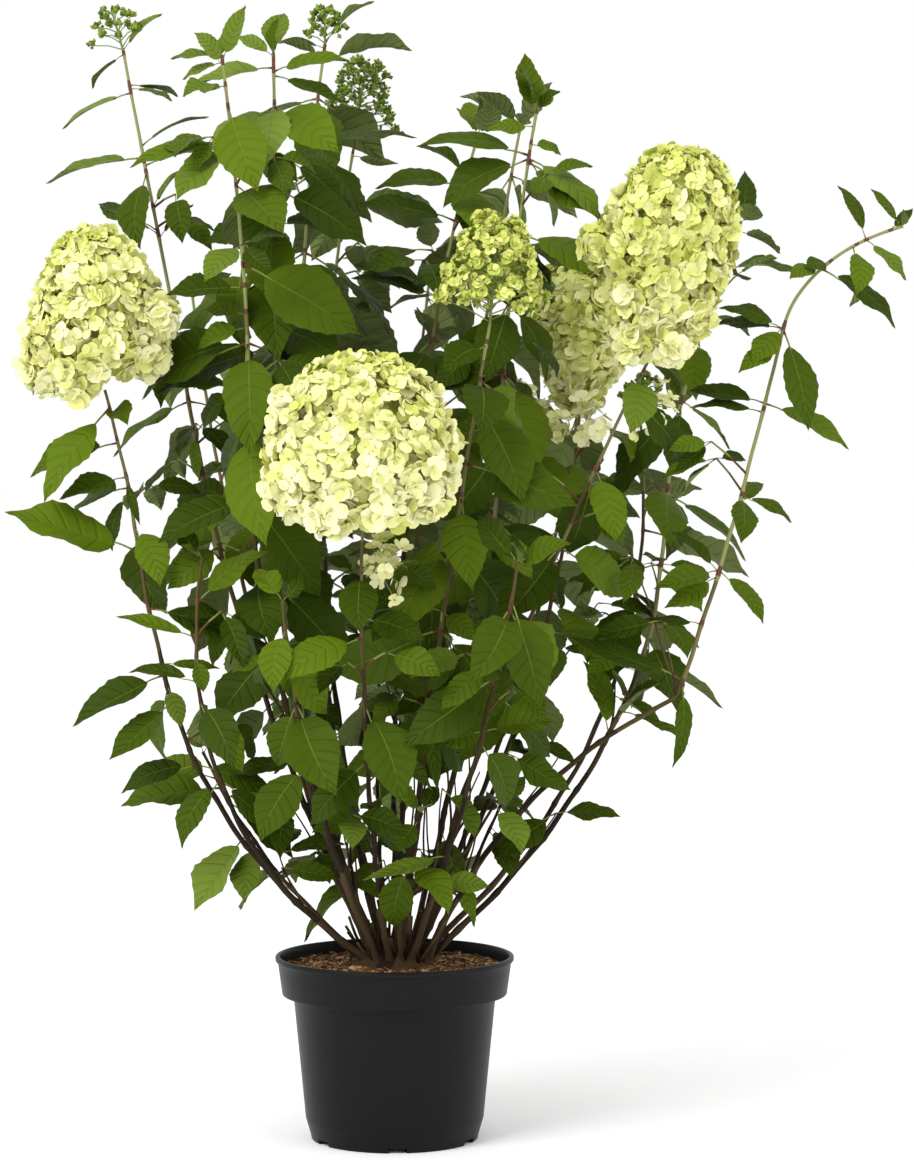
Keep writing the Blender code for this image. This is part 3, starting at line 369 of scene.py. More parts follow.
# A smooth line through the given points, evenly spaced by chord length: cubic pieces whose slope at a point
# is the mean of its two chords, weighted by the lengths across.
def smoothPath(points, count):
    points = np.array(points, float)
    steps = np.diff(points, axis=0)
    chord = np.linalg.norm(steps, axis=1)
    along = np.concatenate([[0], np.cumsum(chord)])
    slope = steps / chord[:, None]
    if len(points) == 2:
        tangent = np.array([slope[0], slope[0]])
    else:
        before = chord[:-1, None]
        after = chord[1:, None]
        inner = (slope[:-1] * after + slope[1:] * before) / (before + after)
        tangent = np.concatenate([[2 * slope[0] - inner[0]], inner, [2 * slope[-1] - inner[-1]]])
    s = np.linspace(0, along[-1], count)
    i = np.clip(np.searchsorted(along, s, side="right") - 1, 0, len(points) - 2)
    length = chord[i][:, None]
    u = (s - along[i])[:, None] / length
    start = (2 * u**3 - 3 * u**2 + 1) * points[i] + (u**3 - 2 * u**2 + u) * length * tangent[i]
    end = (3 * u**2 - 2 * u**3) * points[i + 1] + (u**3 - u**2) * length * tangent[i + 1]
    return start + end


# The first point of a line at a height or over it, or else its last.
def atHeight(line, height):
    above = np.nonzero(line[:, 2] >= height)[0]
    return int(above[0]) if len(above) else len(line) - 1


# A few points of a finely divided line between two indexes, with the line's direction at each.
def thinned(line, first, last, spacing):
    heading = np.gradient(line, axis=0)
    heading /= np.linalg.norm(heading, axis=1)[:, None]
    count = max(3, round(lengthOf(line[first:last + 1]) / spacing) + 1)
    chosen = np.linspace(first, last, count).round().astype(int)
    return line[chosen], heading[chosen]


# Points and faces of a closed skin over rings, ending in a flat face or a point.
def loft(rings, tip=None):
    sides = len(rings[0])
    points = np.concatenate(rings)
    faces = [tuple(range(sides - 1, -1, -1))]
    for row in range(len(rings) - 1):
        for k in range(sides):
            a = row * sides + k
            b = row * sides + (k + 1) % sides
            faces.append((a, b, b + sides))
            faces.append((a, b + sides, a + sides))
    last = (len(rings) - 1) * sides
    if tip is None:
        faces.append(tuple(last + k for k in range(sides)))
    else:
        points = np.concatenate([points, [tip]])
        faces += [(last + k, last + (k + 1) % sides, len(points) - 1) for k in range(sides)]
    return points, faces


# A plain tapering limb: a ring round each point, centre + radius * (cos * across + sin * other), square to
# the line.
def limb(points, heading, radii, sides):
    rings = []
    across = unit(np.cross(heading[0], [0.31, 0.95, 0.05]))
    turns = evenTurns(sides)
    for centre, forward, radius in zip(points, heading, radii):
        across = unit(across - forward * across.dot(forward))
        other = np.cross(forward, across)
        rings.append(centre + radius * around(turns, across, other))
    return loft(rings)


# A straight limb from one point to another.
def rod(points, radii, sides):
    forward = unit(points[1] - points[0])
    return limb(points, [forward, forward], radii, sides)


# Where each cane leaves the woody crown: towards its first bend, further out the more it leans, and then
# pushed apart from its neighbours a little at a time.
def easedFeet(rooted):
    feet = []
    for shoot in rooted.values():
        bend = np.array(shoot["bends"][0])
        reach = np.linalg.norm(bend[:2])
        lean = reach / (bend[2] - growth["caneFoot"])
        out = growth["footNear"] + growth["footSpread"] * min(1.0, lean / growth["footLean"])
        feet.append(bend[:2] / reach * out)
    feet = np.array(feet)
    for _ in range(growth["easeRounds"]):
        apart = feet[:, None] - feet[None]
        distance = np.linalg.norm(apart, axis=2)
        np.fill_diagonal(distance, 1.0)
        push = np.clip(growth["footSpacing"] - distance, 0, None)[:, :, None] * apart / distance[:, :, None]
        feet = feet + growth["easeStep"] * push.sum(axis=1)
    return feet


# The line of every cane from its foot through its bends to its tip. The far right one is two lines, and the
# upper starts a hair's breadth beyond the lower, along the square of their mitre.
def caneLines():
    lines = {}
    rooted = {name: shoot for name, shoot in shoots.items() if name != "far_right"}
    rooted["far_right"] = dict(bends=[bentCane["bend"]])
    for (name, shoot), foot in zip(rooted.items(), easedFeet(rooted)):
        start = np.array([*foot, growth["caneFoot"]])
        if name == "far_right":
            low = [start, bentCane["bend"], bentCane["tip"]]
            lines["far_right_low"] = smoothPath(low, growth["linePoints"])
            start = np.array(bentCane["tip"]) + growth["gap"] * unit(np.array(bentCane["mitre"]))
            shoot = shoots[name]
        lines[name] = smoothPath([start, *shoot["bends"], shoot["tip"]], growth["linePoints"])
    return lines


# Thickness of a cane at a share of its whole length: foot + (tip - foot) * share^taper.
def radiusAlong(share):
    return growth["caneRadius"] + (growth["tipRadius"] - growth["caneRadius"]) * share**growth["taper"]


# The control point of a leaf's curved midrib, where its upper face looks, and its length. The face looks up,
# outwards and, in the front of the crown, towards the viewer, then rolls about the leaf.
def leafFrame(root, tip, arch, roll):
    chord = tip - root
    length = np.linalg.norm(chord)
    forward = chord / length
    abreast = unit(np.array([root[0], root[1], 0.0]) + 1e-6)
    fore = min(1.0, max(-1.0, (growth["facingDepth"] - root[1]) / growth["facingBand"]))
    light = growth["faceUp"] * up + growth["faceOut"] * abreast
    light = light + np.array([0.0, -growth["faceFore"] * fore, 0.0])
    face = unit(light - forward * forward.dot(light))
    side = np.cross(forward, face)
    face = face * math.cos(roll) + side * math.sin(roll)
    peak = (root + tip) / 2 + face * arch * length
    return peak, face, length


# A point of the midrib: (1 - u)^2 * root + 2 u (1 - u) * peak + u^2 * tip.
def onCurve(root, peak, tip, u):
    return (1 - u)**2 * root + 2 * u * (1 - u) * peak + u * u * tip


# The space a leaf needs: a keeled blade with three-cornered sections, as in the solids, half a width of
# width * length at widestAt and of shoulder times that at shoulderAt.
def leafSpace(root, tip, arch, roll, width, margin=0.0):
    peak, face, length = leafFrame(root, tip, arch, roll)
    half = width * length
    rows = [(0.0 if margin == 0 else growth["clearFrom"], growth["stalkHalf"]), (growth["widestAt"], half)]
    if length > growth["shortLeaf"]:
        rows.insert(1, (growth["stalkShare"], growth["stalkHalf"]))
    if length > growth["longLeaf"]:
        rows.append((growth["shoulderAt"], half * growth["shoulder"]))
    rings = []
    for u, w in rows:
        centre = onCurve(root, peak, tip, u)
        forward = unit(2 * (1 - u) * (peak - root) + 2 * u * (tip - peak))
        normal = unit(face - forward * face.dot(forward))
        side = np.cross(forward, normal)
        w = w + margin
        rise = growth["fold"] * w + margin
        left = centre - side * w + normal * rise
        right = centre + side * w + normal * rise
        rings.append(np.array([left, right, centre - normal * (growth["keel"] + margin)]))
    return loft(rings, tip + margin * unit(tip - peak))


# Where a point shows in the photo, in its pixels, and the way back for a pixel at a known depth. The camera
# looks almost level, so both are plain proportions of the distance from it. Of two canes that a leaf could
# stand on, each metre further back counts as depthCost pixels.
photoScale = dict(middle=457.0, level=405.4, perMetreAway=3658.0, depthCost=20.0)


def toPhoto(points):
    points = np.asarray(points)
    near = photoScale["perMetreAway"] / (points[..., 1] - studio["eyePlace"][1])
    across = photoScale["middle"] + (points[..., 0] - studio["eyePlace"][0]) * near
    return np.stack([across, photoScale["level"] - (points[..., 2] - studio["eyePlace"][2]) * near], axis=-1)


def fromPhoto(across, down, back):
    far = (back - studio["eyePlace"][1]) / photoScale["perMetreAway"]
    right = studio["eyePlace"][0] + (across - photoScale["middle"]) * far
    return np.array([right, back, studio["eyePlace"][2] + (photoScale["level"] - down) * far])


# Whether a point would show in one of the gaps seen in the photo's crown.
def inOpening(point):
    across, down = toPhoto(point)
    return any((across - a)**2 + (down - b)**2 < r * r for a, b, r in gapsSeen)


# Room kept free of leaves about a full head: beyond its foot and top as shares of its length, and aside.
headRoom = dict(below=-0.08, above=1.06, aside=0.004)


# What has been placed so far, so that nothing new touches it.
class Space:
    def __init__(self):
        self.pieces = []
        self.domes = []

    # takes a solid in, with its box and its search tree
    def add(self, owner, points, faces):
        tree = BVHTree.FromPolygons([tuple(p) for p in points], faces)
        self.pieces.append((owner, points.min(axis=0), points.max(axis=0), tree))

    # whether a point lies in a full head's own form or the room about it
    def inDome(self, point):
        for base, top, head in self.domes:
            axis = top - base
            h = (point - base).dot(axis) / axis.dot(axis)
            off = np.linalg.norm(point - base - h * axis)
            swell = headShape(min(max(h, 0.03), 0.97), head)
            if headRoom["below"] < h < headRoom["above"] and off < head["radius"] * swell + headRoom["aside"]:
                return True
        return False

    # whether a solid cuts any other, apart from its own stem
    def touches(self, points, faces, ownStem):
        low = points.min(axis=0)
        high = points.max(axis=0)
        tree = None
        for owner, a, b, other in self.pieces:
            if owner == ownStem or (low > b).any() or (high < a).any():
                continue
            if tree is None:
                tree = BVHTree.FromPolygons([tuple(p) for p in points], faces)
            if tree.overlap(other):
                return True
        return False

    # whether a leaf has room here: clear of the heads at three places on its midrib, and of every solid
    def holds(self, root, tip, arch, roll, width, ownStem):
        points, faces = leafSpace(root, tip, arch, roll, width, growth["clearance"])
        peak = leafFrame(root, tip, arch, roll)[0]
        if any(self.inDome(onCurve(root, peak, tip, u)) for u in (0.3, 0.65, 1.0)):
            return False
        return not self.touches(points, faces, ownStem)


# How leaves are dealt along a shoot: the first pair's place, where the top begins, the stretch with whorls
# of three, the size by place and at the top, and the ranges that turn, pitch and roll (in degrees), length,
# arch and width are drawn from.
pairing = dict(
    first=0.35, top=0.93, whorls=(0.42, 0.97), least=0.86, swell=0.28, topSizes=(0.62, 0.42), turn=16,
    span=(0.86, 1.12), pitch=(-52, -2), topPitch=(15, 55), arch=(0.08, 0.16), roll=14, width=(0.88, 1.08),
    edgeArch=0.10, edgeWidth=(0.92, 1.05),
)


# The leaves of one shoot, in pairs a quarter turn apart, as root, tip, arch, roll and width. A leaf's length
# is the shoot's own times least + swell * sin(pi * share), so it is longest half way up.
def leafPlan(name, line, first):
    shoot = shoots[name]
    rng = random.Random("leaves of " + name)
    plan = []
    taken = []
    for height, right, back, rise in edgeLeaves.get(name, []):
        root = line[max(atHeight(line, height), first + 2)]
        tip = root + np.array([right, back, rise]) / 1000
        width = growth["leafHalfWidth"] * rng.uniform(*pairing["edgeWidth"])
        plan.append((root, tip, pairing["edgeArch"], 0.0, width))
        taken.append((root, math.atan2(back, right)))
    pairs = max(2, round(lengthOf(line[first:]) / growth["pairSpacing"]))
    leafyTop = name not in heads
    for k in range(pairs + 1 + leafyTop):
        share = min(1.0, (k + pairing["first"]) / pairs)
        if k > pairs:
            share = 1.0
        place = first + 3 + int((len(line) - 4 - first) * share)
        root = line[min(place, len(line) - 2)]
        nearTop = share > pairing["top"]
        if nearTop and not leafyTop:
            continue
        turn = math.radians(shoot["turn"] + 90 * k + rng.uniform(-pairing["turn"], pairing["turn"]))
        whorl = 3 if name in whorled and pairing["whorls"][0] < share < pairing["whorls"][1] else 2
        for way in (turn + 2 * math.pi * n / whorl for n in range(whorl)):
            grown = pairing["least"] + pairing["swell"] * math.sin(math.pi * min(share, 0.9))
            grown = growth["leafLength"] * shoot["size"] * grown
            if nearTop:
                grown *= pairing["topSizes"][k != pairs]
            span = grown * rng.uniform(*pairing["span"])
            pitch = math.radians(rng.uniform(*pairing["topPitch" if nearTop else "pitch"]))
            arch = rng.uniform(*pairing["arch"])
            roll = math.radians(rng.uniform(-pairing["roll"], pairing["roll"]))
            width = growth["leafHalfWidth"] * rng.uniform(*pairing["width"])
            near = [t for r, t in taken if np.linalg.norm(r - root) < growth["nodeSpacing"]]
            if any(abs(math.remainder(way - t, 2 * math.pi)) < growth["turnApart"] for t in near):
                continue
            plan.append((root, root + pointing(way, pitch) * span, arch, roll, width))
    return plan


# Places each leaf as planned, or turned or drooped a little; one that still touches, or that would close a
# gap where the crown is open, is skipped.
def settle(plan, space, name, kind="main", sky=True):
    kept = []
    for root, tip, arch, roll, width in plan:
        reach = tip - root
        for turn, droop, scale in givingWay:
            c = math.cos(math.radians(turn))
            s = math.sin(math.radians(turn))
            moved = np.array([reach[0] * c - reach[1] * s, reach[0] * s + reach[1] * c, reach[2]])
            moved[2] -= np.linalg.norm(reach[:2]) * math.tan(math.radians(droop))
            moved = unit(moved) * np.linalg.norm(reach) * scale
            tip = root + moved
            if sky and any(inOpening(root + u * moved) for u in (0.4, 0.6, 0.8, 1.0)):
                continue
            if space.holds(root, tip, arch, roll, width, "stem of " + name):
                space.add(name, *leafSpace(root, tip, arch, roll, width))
                kept.append(dict(root=root, tip=tip, arch=arch, roll=roll, width=width,
                                 shoot=name, kind=kind))
                break
    return kept


# Radius of a panicle at a share h of its height, beside its widest: up to there it swells as a quarter sine
# from the foot, and above it is the root of 1 - ((h - widest) / (1 - widest))^dome.
def headShape(h, head):
    widest = head["widest"]
    if h < widest:
        return head["foot"] + (1 - head["foot"]) * math.sin(math.pi / 2 * h / widest)
    return math.sqrt(max(0.0, 1 - ((h - widest) / (1 - widest)) ** head["dome"]))


# A flower head's foot and top, and the directions along it and twice across it.
def headAxes(name, line):
    head = heads[name]
    base = line[-1]
    leanX, leanY = head["lean"]
    rise = math.sqrt(head["length"]**2 - leanX**2 - leanY**2)
    top = base + np.array([leanX, leanY, rise])
    forward = unit(top - base)
    across = unit(np.cross(forward, [0.0, 1.0, 0.1]))
    return base, top, forward, across, np.cross(forward, across)


# The four-pointed star that holds a floret's space: four points round it, one before and one behind.
def starSpace(centre, outward, radius, spin, depth):
    across = unit(np.cross(outward, [0.3, 0.2, 0.9]))
    other = np.cross(outward, across)
    ring = centre + radius * around(spin + evenTurns(4), across, other)
    points = np.concatenate([ring, [centre + growth["starPeak"] * outward, centre - depth * outward]])
    faces = []
    for k in range(4):
        faces.append((k, (k + 1) % 4, 4))
        faces.append(((k + 1) % 4, k, 5))
    return points, faces


# The room a flower head takes: a core with stars on a full one, a stalk with stars on an open one.
def headSpace(name, line):
    head = heads[name]
    rng = random.Random("head of " + name)
    base, top, forward, across, other = headAxes(name, line)
    room = []
    if head["kind"] != "full":
        room.append(rod([base - 0.006 * forward, top - 0.006 * forward], [0.0018, 0.0012], 4))
        knot = growth["budRadius"] * (1.5 if head["kind"] == "open" else 1.0)
        for k in range(head["florets"]):
            share = (k + 0.5) / head["florets"]
            turn = k * goldenTurn
            spoke = math.cos(turn) * across + math.sin(turn) * other
            root = base + (0.05 + 0.80 * share) * (top - base)
            reach = head["radius"] * (1 - 0.72 * share) * rng.uniform(0.82, 1.05)
            end = root + spoke * reach + forward * (0.010 + 0.20 * reach)
            size = knot * rng.uniform(0.85, 1.2)
            room.append(starSpace(end, unit(end - root), size, turn, np.linalg.norm(end - root)))
        room.append(starSpace(top - 0.004 * forward, forward, knot, 0.4, knot))
        return room
    rings = []
    segments = 9
    core = head["radius"] - 0.010
    for h in (0.0, 0.12, 0.34, 0.58, 0.78, 0.93):
        bumps = np.array([rng.uniform(0.93, 1.05) for _ in range(segments)])
        radius = core * headShape(h, head) * bumps
        spoke = around(evenTurns(segments), across, other)
        rings.append(base + (h - 0.05) * (top - base) + radius[:, None] * spoke)
    room.append(loft(rings, top - 0.004 * forward))
    for k in range(head["florets"]):
        h = 0.03 + 0.92 * ((k + 0.5) / head["florets"]) ** 0.92
        below, swell, above = (headShape(max(h + step, 0.0), head) for step in (-0.03, 0.0, 0.03))
        slope = (above - below) / 0.06
        turn = k * goldenTurn + rng.uniform(-0.2, 0.2)
        spoke = math.cos(turn) * across + math.sin(turn) * other
        outward = unit(spoke - slope * head["radius"] / head["length"] * forward)
        centre = base + (h - 0.04) * (top - base) + spoke * core * swell * 0.97 + outward * 0.007
        tilt = np.array([rng.uniform(-0.3, 0.3) for _ in range(3)])
        radius = growth["floretRadius"] * rng.uniform(0.85, 1.12)
        spin = rng.uniform(0, 1.5)
        room.append(starSpace(centre, unit(outward + tilt), radius, spin, growth["floretDepth"]))
    return room


# Where everything stands: the same lines, rooms and turns as in the solids. The pot's room is a cylinder.
potRoom = dict(low=0.001, high=0.202, radius=0.132, sides=26)
lines = caneLines()
space = Space()
potEnds = [potRoom["low"] * up, potRoom["high"] * up]
space.add("pot", *rod(potEnds, [potRoom["radius"]] * 2, potRoom["sides"]))
starts = {}
for name, line in lines.items():
    whole, heading = thinned(line, 0, len(line) - 1, 0.100)
    space.add("stem of " + name, *limb(whole, heading, [growth["caneRadius"] + 0.0006] * len(whole), 5))
    if name != "far_right_low":
        leafy = shoots[name]["leafy"]
        starts[name] = atHeight(line, leafy) if leafy else 0
for name, head in heads.items():
    for points, faces in headSpace(name, lines[name]):
        space.add(name, points, faces)
    if head["kind"] == "full":
        base, top = headAxes(name, lines[name])[:2]
        space.domes.append((base, top, head))

# Leaves that the solids leave to the eye, where the photo's crown is closed: root and tip in photo pixels,
# how far the tip stands back from the root in millimetres, and half the width in hundredths of the length.
leavesSeen = (
    (143, 95, 180, 106, 10, 26), (128, 55, 167, 21, 10, 20), (125, 62, 97, 95, 20, 24),
    (245, 148, 133, 173, 0, 14), (152, 152, 213, 122, 15, 14), (150, 215, 186, 173, 15, 20),
    (137, 245, 105, 215, -10, 26), (162, 242, 197, 208, 10, 16), (222, 54, 173, 64, -8, 17),
    (230, 70, 182, 85, 5, 18), (277, 74, 193, 94, -25, 19), (240, 92, 203, 97, 15, 26),
    (279, 78, 352, 67, -20, 19), (285, 82, 345, 108, 25, 16), (327, 55, 280, 50, 0, 12),
    (352, 62, 346, 2, 10, 28), (352, 42, 379, 7, 5, 20), (412, 240, 342, 262, -5, 9),
    (345, 160, 400, 168, 20, 12), (322, 152, 418, 143, 5, 16), (460, 178, 418, 150, 10, 22),
    (522, 160, 416, 152, -25, 17), (518, 120, 459, 102, 5, 17), (485, 130, 478, 100, -5, 20),
    (485, 132, 459, 111, 10, 20), (530, 120, 524, 59, 5, 26), (530, 120, 501, 74, 15, 24),
    (530, 130, 484, 136, -15, 24), (522, 150, 560, 160, 25, 24), (525, 163, 608, 227, -30, 20),
    (447, 222, 358, 208, -10, 19), (250, 318, 206, 312, 15, 26), (545, 500, 500, 526, 15, 30),
    (440, 298, 388, 312, 20, 26), (515, 305, 545, 385, 20, 22), (762, 413, 690, 392, 0, 18),
    (683, 405, 652, 366, 20, 22), (685, 405, 728, 451, 10, 17), (683, 405, 668, 472, -10, 30),
    (778, 328, 729, 367, -10, 34), (828, 270, 796, 272, -15, 50), (778, 330, 712, 326, 8, 26),
    (645, 372, 630, 440, -25, 30), (683, 497, 744, 562, 10, 17), (745, 490, 735, 537, 15, 46),
    (670, 567, 701, 612, -15, 34), (703, 625, 640, 620, 10, 20), (658, 625, 698, 648, 10, 22),
    (672, 565, 709, 578, 0, 20), (718, 572, 668, 531, 15, 20), (683, 680, 568, 636, -10, 15),
    (683, 680, 671, 768, -15, 17), (638, 720, 688, 744, -5, 14), (642, 677, 609, 736, -20, 30),
    (608, 735, 582, 660, 10, 22), (637, 673, 592, 658, 0, 26), (130, 478, 62, 500, -20, 28),
    (130, 478, 143, 526, -15, 12), (132, 492, 115, 552, 15, 22), (210, 520, 134, 585, -20, 18),
    (110, 395, 164, 448, 20, 22), (105, 390, 132, 418, -15, 28), (205, 638, 118, 616, 0, 12),
    (172, 684, 183, 728, -18, 26), (200, 682, 130, 672, 10, 14), (366, 868, 314, 951, -66, 20),
    (456, 872, 483, 951, -62, 19), (442, 828, 431, 899, -45, 27), (452, 856, 355, 876, -15, 12),
    (426, 822, 398, 851, -10, 34), (398, 884, 387, 916, -10, 38), (484, 828, 513, 874, -40, 28),
    (330, 868, 388, 900, 10, 16), (240, 330, 200, 352, 10, 30), (437, 300, 350, 282, 5, 24),
    (103, 372, 131, 414, -10, 30), (205, 430, 202, 482, 0, 22), (135, 485, 140, 552, -10, 24),
    (150, 668, 222, 668, 5, 14), (222, 655, 205, 692, 0, 30), (300, 762, 232, 775, -15, 24),
    (520, 728, 466, 748, -10, 22), (446, 705, 438, 792, -5, 10), (628, 366, 622, 438, -30, 26),
    (705, 575, 662, 608, -20, 30),
)

# Gaps where sky or the bare foot of the canes shows, seen from the front: place and radius in photo pixels.
gapsSeen = (
    (165, 120, 24), (130, 138, 14), (172, 200, 17), (207, 205, 16), (185, 266, 17), (225, 187, 11),
    (262, 322, 12), (335, 255, 14), (430, 258, 14), (415, 352, 14), (405, 325, 12), (395, 250, 12),
    (812, 385, 20), (710, 458, 16), (715, 380, 12), (770, 292, 12), (640, 505, 13), (622, 525, 11),
    (652, 525, 11), (605, 606, 14), (573, 690, 20), (590, 722, 13), (625, 754, 12), (715, 672, 17),
    (90, 650, 24), (58, 664, 14), (115, 585, 17), (140, 652, 13), (185, 592, 12), (205, 605, 11),
    (222, 548, 11), (35, 462, 13), (140, 455, 11), (183, 822, 13), (130, 742, 13), (340, 692, 13),
    (330, 742, 13), (385, 665, 13), (345, 640, 11), (270, 757, 11), (105, 600, 12), (130, 565, 12),
    (155, 630, 13), (560, 662, 12), (596, 738, 13), (607, 757, 12), (490, 832, 13), (482, 852, 10),
    (470, 802, 9), (780, 392, 15), (822, 352, 15), (45, 436, 9), (835, 425, 15), (445, 800, 9),
    (240, 717, 11), (500, 690, 9), (745, 285, 11), (60, 560, 16), (860, 400, 26), (640, 790, 30),
    (560, 850, 24), (352, 948, 26), (590, 415, 18), (552, 425, 15), (655, 407, 18), (514, 394, 9),
    (580, 345, 24), (577, 364, 17), (372, 98, 24), (392, 120, 11), (420, 922, 18), (378, 934, 16),
    (190, 120, 20), (132, 578, 18), (178, 640, 15), (150, 462, 20), (240, 200, 14), (265, 185, 11),
    (235, 225, 11), (392, 664, 16), (455, 650, 12), (563, 715, 17), (684, 515, 16), (290, 905, 16),
    (598, 468, 14), (318, 125, 13), (455, 235, 13), (495, 222, 11),
)


# The leaves seen, each on the cane that passes nearest its root in the photo, where one further back has to
# pass nearer.
def leavesByCane():
    found = {}
    shown = {name: toPhoto(line) for name, line in lines.items() if name != "far_right_low"}
    for rootX, rootY, tipX, tipY, back, half in leavesSeen:
        costs = []
        for name, at in shown.items():
            away = np.hypot(at[:, 0] - rootX, at[:, 1] - rootY)
            k = int(away.argmin())
            costs.append((away[k] + photoScale["depthCost"] * max(0.0, lines[name][k][1]), name, k))
        _, name, k = min(costs)
        root = lines[name][k]
        found.setdefault(name, []).append((root, fromPhoto(tipX, tipY, root[1] + back / 1000), half / 100))
    return found


# How far the crown reaches: it widens steadily from the pot up to two thirds of its height, and its middle
# moves to the right.
reachLook = dict(lowest=0.22, foot=0.20, rise=0.52, narrow=0.12, wider=0.30, right=0.05)


# Whether a point keeps this far inside the shrub's own outline: the box of the solids, and a round section of
# radius narrow + wider * share, where share = (height - foot) / rise.
def inReach(point, margin):
    low, high = np.array(cadBox[0]), np.array(cadBox[1])
    if (point[:2] < low[:2] + margin).any() or (point[:2] > high[:2] - margin).any():
        return False
    if point[2] > high[2] - margin or point[2] < reachLook["lowest"]:
        return False
    share = min(1.0, (point[2] - reachLook["foot"]) / reachLook["rise"])
    widest = reachLook["narrow"] + reachLook["wider"] * share
    return float(np.hypot(point[0] - reachLook["right"] * share, point[1])) < widest - margin


# Small leaves round the tip of a twig, each at its own turn from the twig's way. Where the look has a margin,
# ones that would stand outside the shrub's reach are left out.
def tipLeaves(rng, tip, way, count, look):
    plan = []
    for n in range(count):
        turn = way + look["turns"][n] + rng.uniform(-look["stray"], look["stray"])
        reach = pointing(turn, rng.uniform(*look["pitch"]))
        reach = look["leaf"] * rng.uniform(*look["sizes"]) * reach
        if look["margin"] is None or inReach(tip + reach, look["margin"]):
            plan.append((tip, tip + reach, rng.uniform(0.08, 0.16), rng.uniform(-0.3, 0.3),
                         growth["leafHalfWidth"] * rng.uniform(0.9, 1.1)))
    return plan


# Leaves hang from their stalks, and most where they stand towards the eye or away from it: each that doesn't
# rise turns down by this share of its depth at most. The narrow tip leaves of a shoot stay as they are.
hanging = dict(main=0.62, small=0.45)


# A plan whose falling leaves hang: reach - most * |depth| * up, drawn to its old length.
def hung(plan, most):
    made = []
    for root, tip, *shape in plan:
        reach = tip - root
        length = np.linalg.norm(reach)
        if reach[2] < 0:
            reach = unit(reach - most * abs(reach[1]) * up) * length
        made.append((root, root + reach, *shape))
    return made


# Finer twigs: short side shoots between the pairs, each with a few small leaves. They keep within the
# shrub's own reach, so a twig whose leaves find no room is left out.
twigLook = dict(
    perMetre=13.0, span=(0.022, 0.060), places=(0.02, 0.86), thick=0.0011, lift=0.75, clear=0.05, leaf=0.068,
    turns=(-0.9, 0.9, 0.0), stray=0.25, pitch=(-0.7, 0.15), sizes=(0.70, 1.15), margin=0.012,
)


# One shoot's side twigs as root and tip, at golden turns up the cane, and their leaves.
def sideTwigs(name, line, first):
    rng = random.Random("twigs of " + name)
    made, kept = [], []
    for k in range(int(lengthOf(line[first:]) * twigLook["perMetre"])):
        place = first + int((len(line) - 1 - first) * rng.uniform(*twigLook["places"]))
        way = k * goldenTurn + rng.uniform(-0.4, 0.4)
        span = rng.uniform(*twigLook["span"])
        out = unit(np.array([math.cos(way), math.sin(way), twigLook["lift"] * rng.uniform(0.5, 1.4)]))
        tip = line[place] + span * out
        if not inReach(tip, twigLook["clear"]):
            continue
        plan = tipLeaves(rng, tip, way, 3, twigLook)
        found = settle(hung(plan, hanging["small"]), space, name, "small")
        if found:
            made.append((line[place], tip))
            kept += found
    return kept, made


leaves, twigs = [], []
mainPlans = {}
seen = leavesByCane()
for name in sorted(starts, key=lambda name: name not in edgeLeaves):
    plan = leafPlan(name, lines[name], starts[name])
    first = len(edgeLeaves.get(name, []))
    rng = random.Random("infill of " + name)
    extra = []
    for root, tip, half in seen.get(name, []):
        arch, roll = rng.uniform(0.10, 0.18), rng.uniform(-0.2, 0.2)
        extra.append((root, tip, arch, roll, half * rng.uniform(0.95, 1.05)))
    leaves += settle(plan[:first] + extra, space, name, sky=False)
    mainPlans[name] = plan[first:]
print("leaves that draw the edge:", len(leaves))
for name, plan in mainPlans.items():
    leaves += settle(hung(plan, hanging["main"]), space, name)
for name in starts:
    small, made = sideTwigs(name, lines[name], starts[name])
    leaves += small
    twigs += made


# Slender shoots low down: thin twigs that fork from the canes between the pot and the leaves and climb beside
# them. One that would run into another cane is left out. Some end in small leaves, and some were pruned to a
# stub.
slenderLook = dict(
    each=3, heights=(0.225, 0.46), span=(0.05, 0.17), thick=0.0017, thin=0.0009, clear=0.0062, inside=0.03,
    rise=0.35, fork=0.28, bend=0.16, counts=(0, 2, 3, 3), leaf=0.074, turns=(-1.0, 1.1, 0.0), stray=0.3,
    pitch=(-0.6, 0.3), sizes=(0.7, 1.2), margin=None,
)


# The curve leaves along the cane and bends outwards and up: root + span * (s * heading + bend * s^2 * away).
def slenderShoots():
    made, kept = [], []
    cores = {name: line[::4] for name, line in lines.items()}
    for name, line in lines.items():
        rng = random.Random("slender " + name)
        if name != "far_right_low" and shoots[name]["leafy"] is None:
            continue
        for k in range(slenderLook["each"]):
            place = min(atHeight(line, rng.uniform(*slenderLook["heights"])), len(line) - 3)
            heading = unit(line[place + 2] - line[place - 2]) if place > 2 else up
            way = rng.uniform(0, 2 * math.pi)
            away = np.array([math.cos(way), math.sin(way), slenderLook["rise"]])
            span = rng.uniform(*slenderLook["span"])
            s = np.linspace(0, 1, 9)[:, None]
            forking = s * unit(heading + slenderLook["fork"] * away)
            curve = line[place] + span * (forking + slenderLook["bend"] * s**2 * unit(away + up))
            others = np.concatenate([core for other, core in cores.items() if other != name])
            gap = np.linalg.norm(curve[3:, None] - others[None], axis=2).min()
            if gap < slenderLook["clear"] or not inReach(curve[-1], slenderLook["inside"]):
                continue
            plan = tipLeaves(rng, curve[-1], way, rng.choice(slenderLook["counts"]), slenderLook)
            kept += settle(hung(plan, hanging["small"]), space, name, "small")
            cores[f"{name} slender {k}"] = curve
            made.append(curve)
    return kept, made


small, slender = slenderShoots()
leaves += [leaf for leaf in small if leaf["shoot"] != "far_right_low"]
print("leaves in all:", len(leaves), "on", len(twigs), "side twigs and", len(slender), "slender shoots")


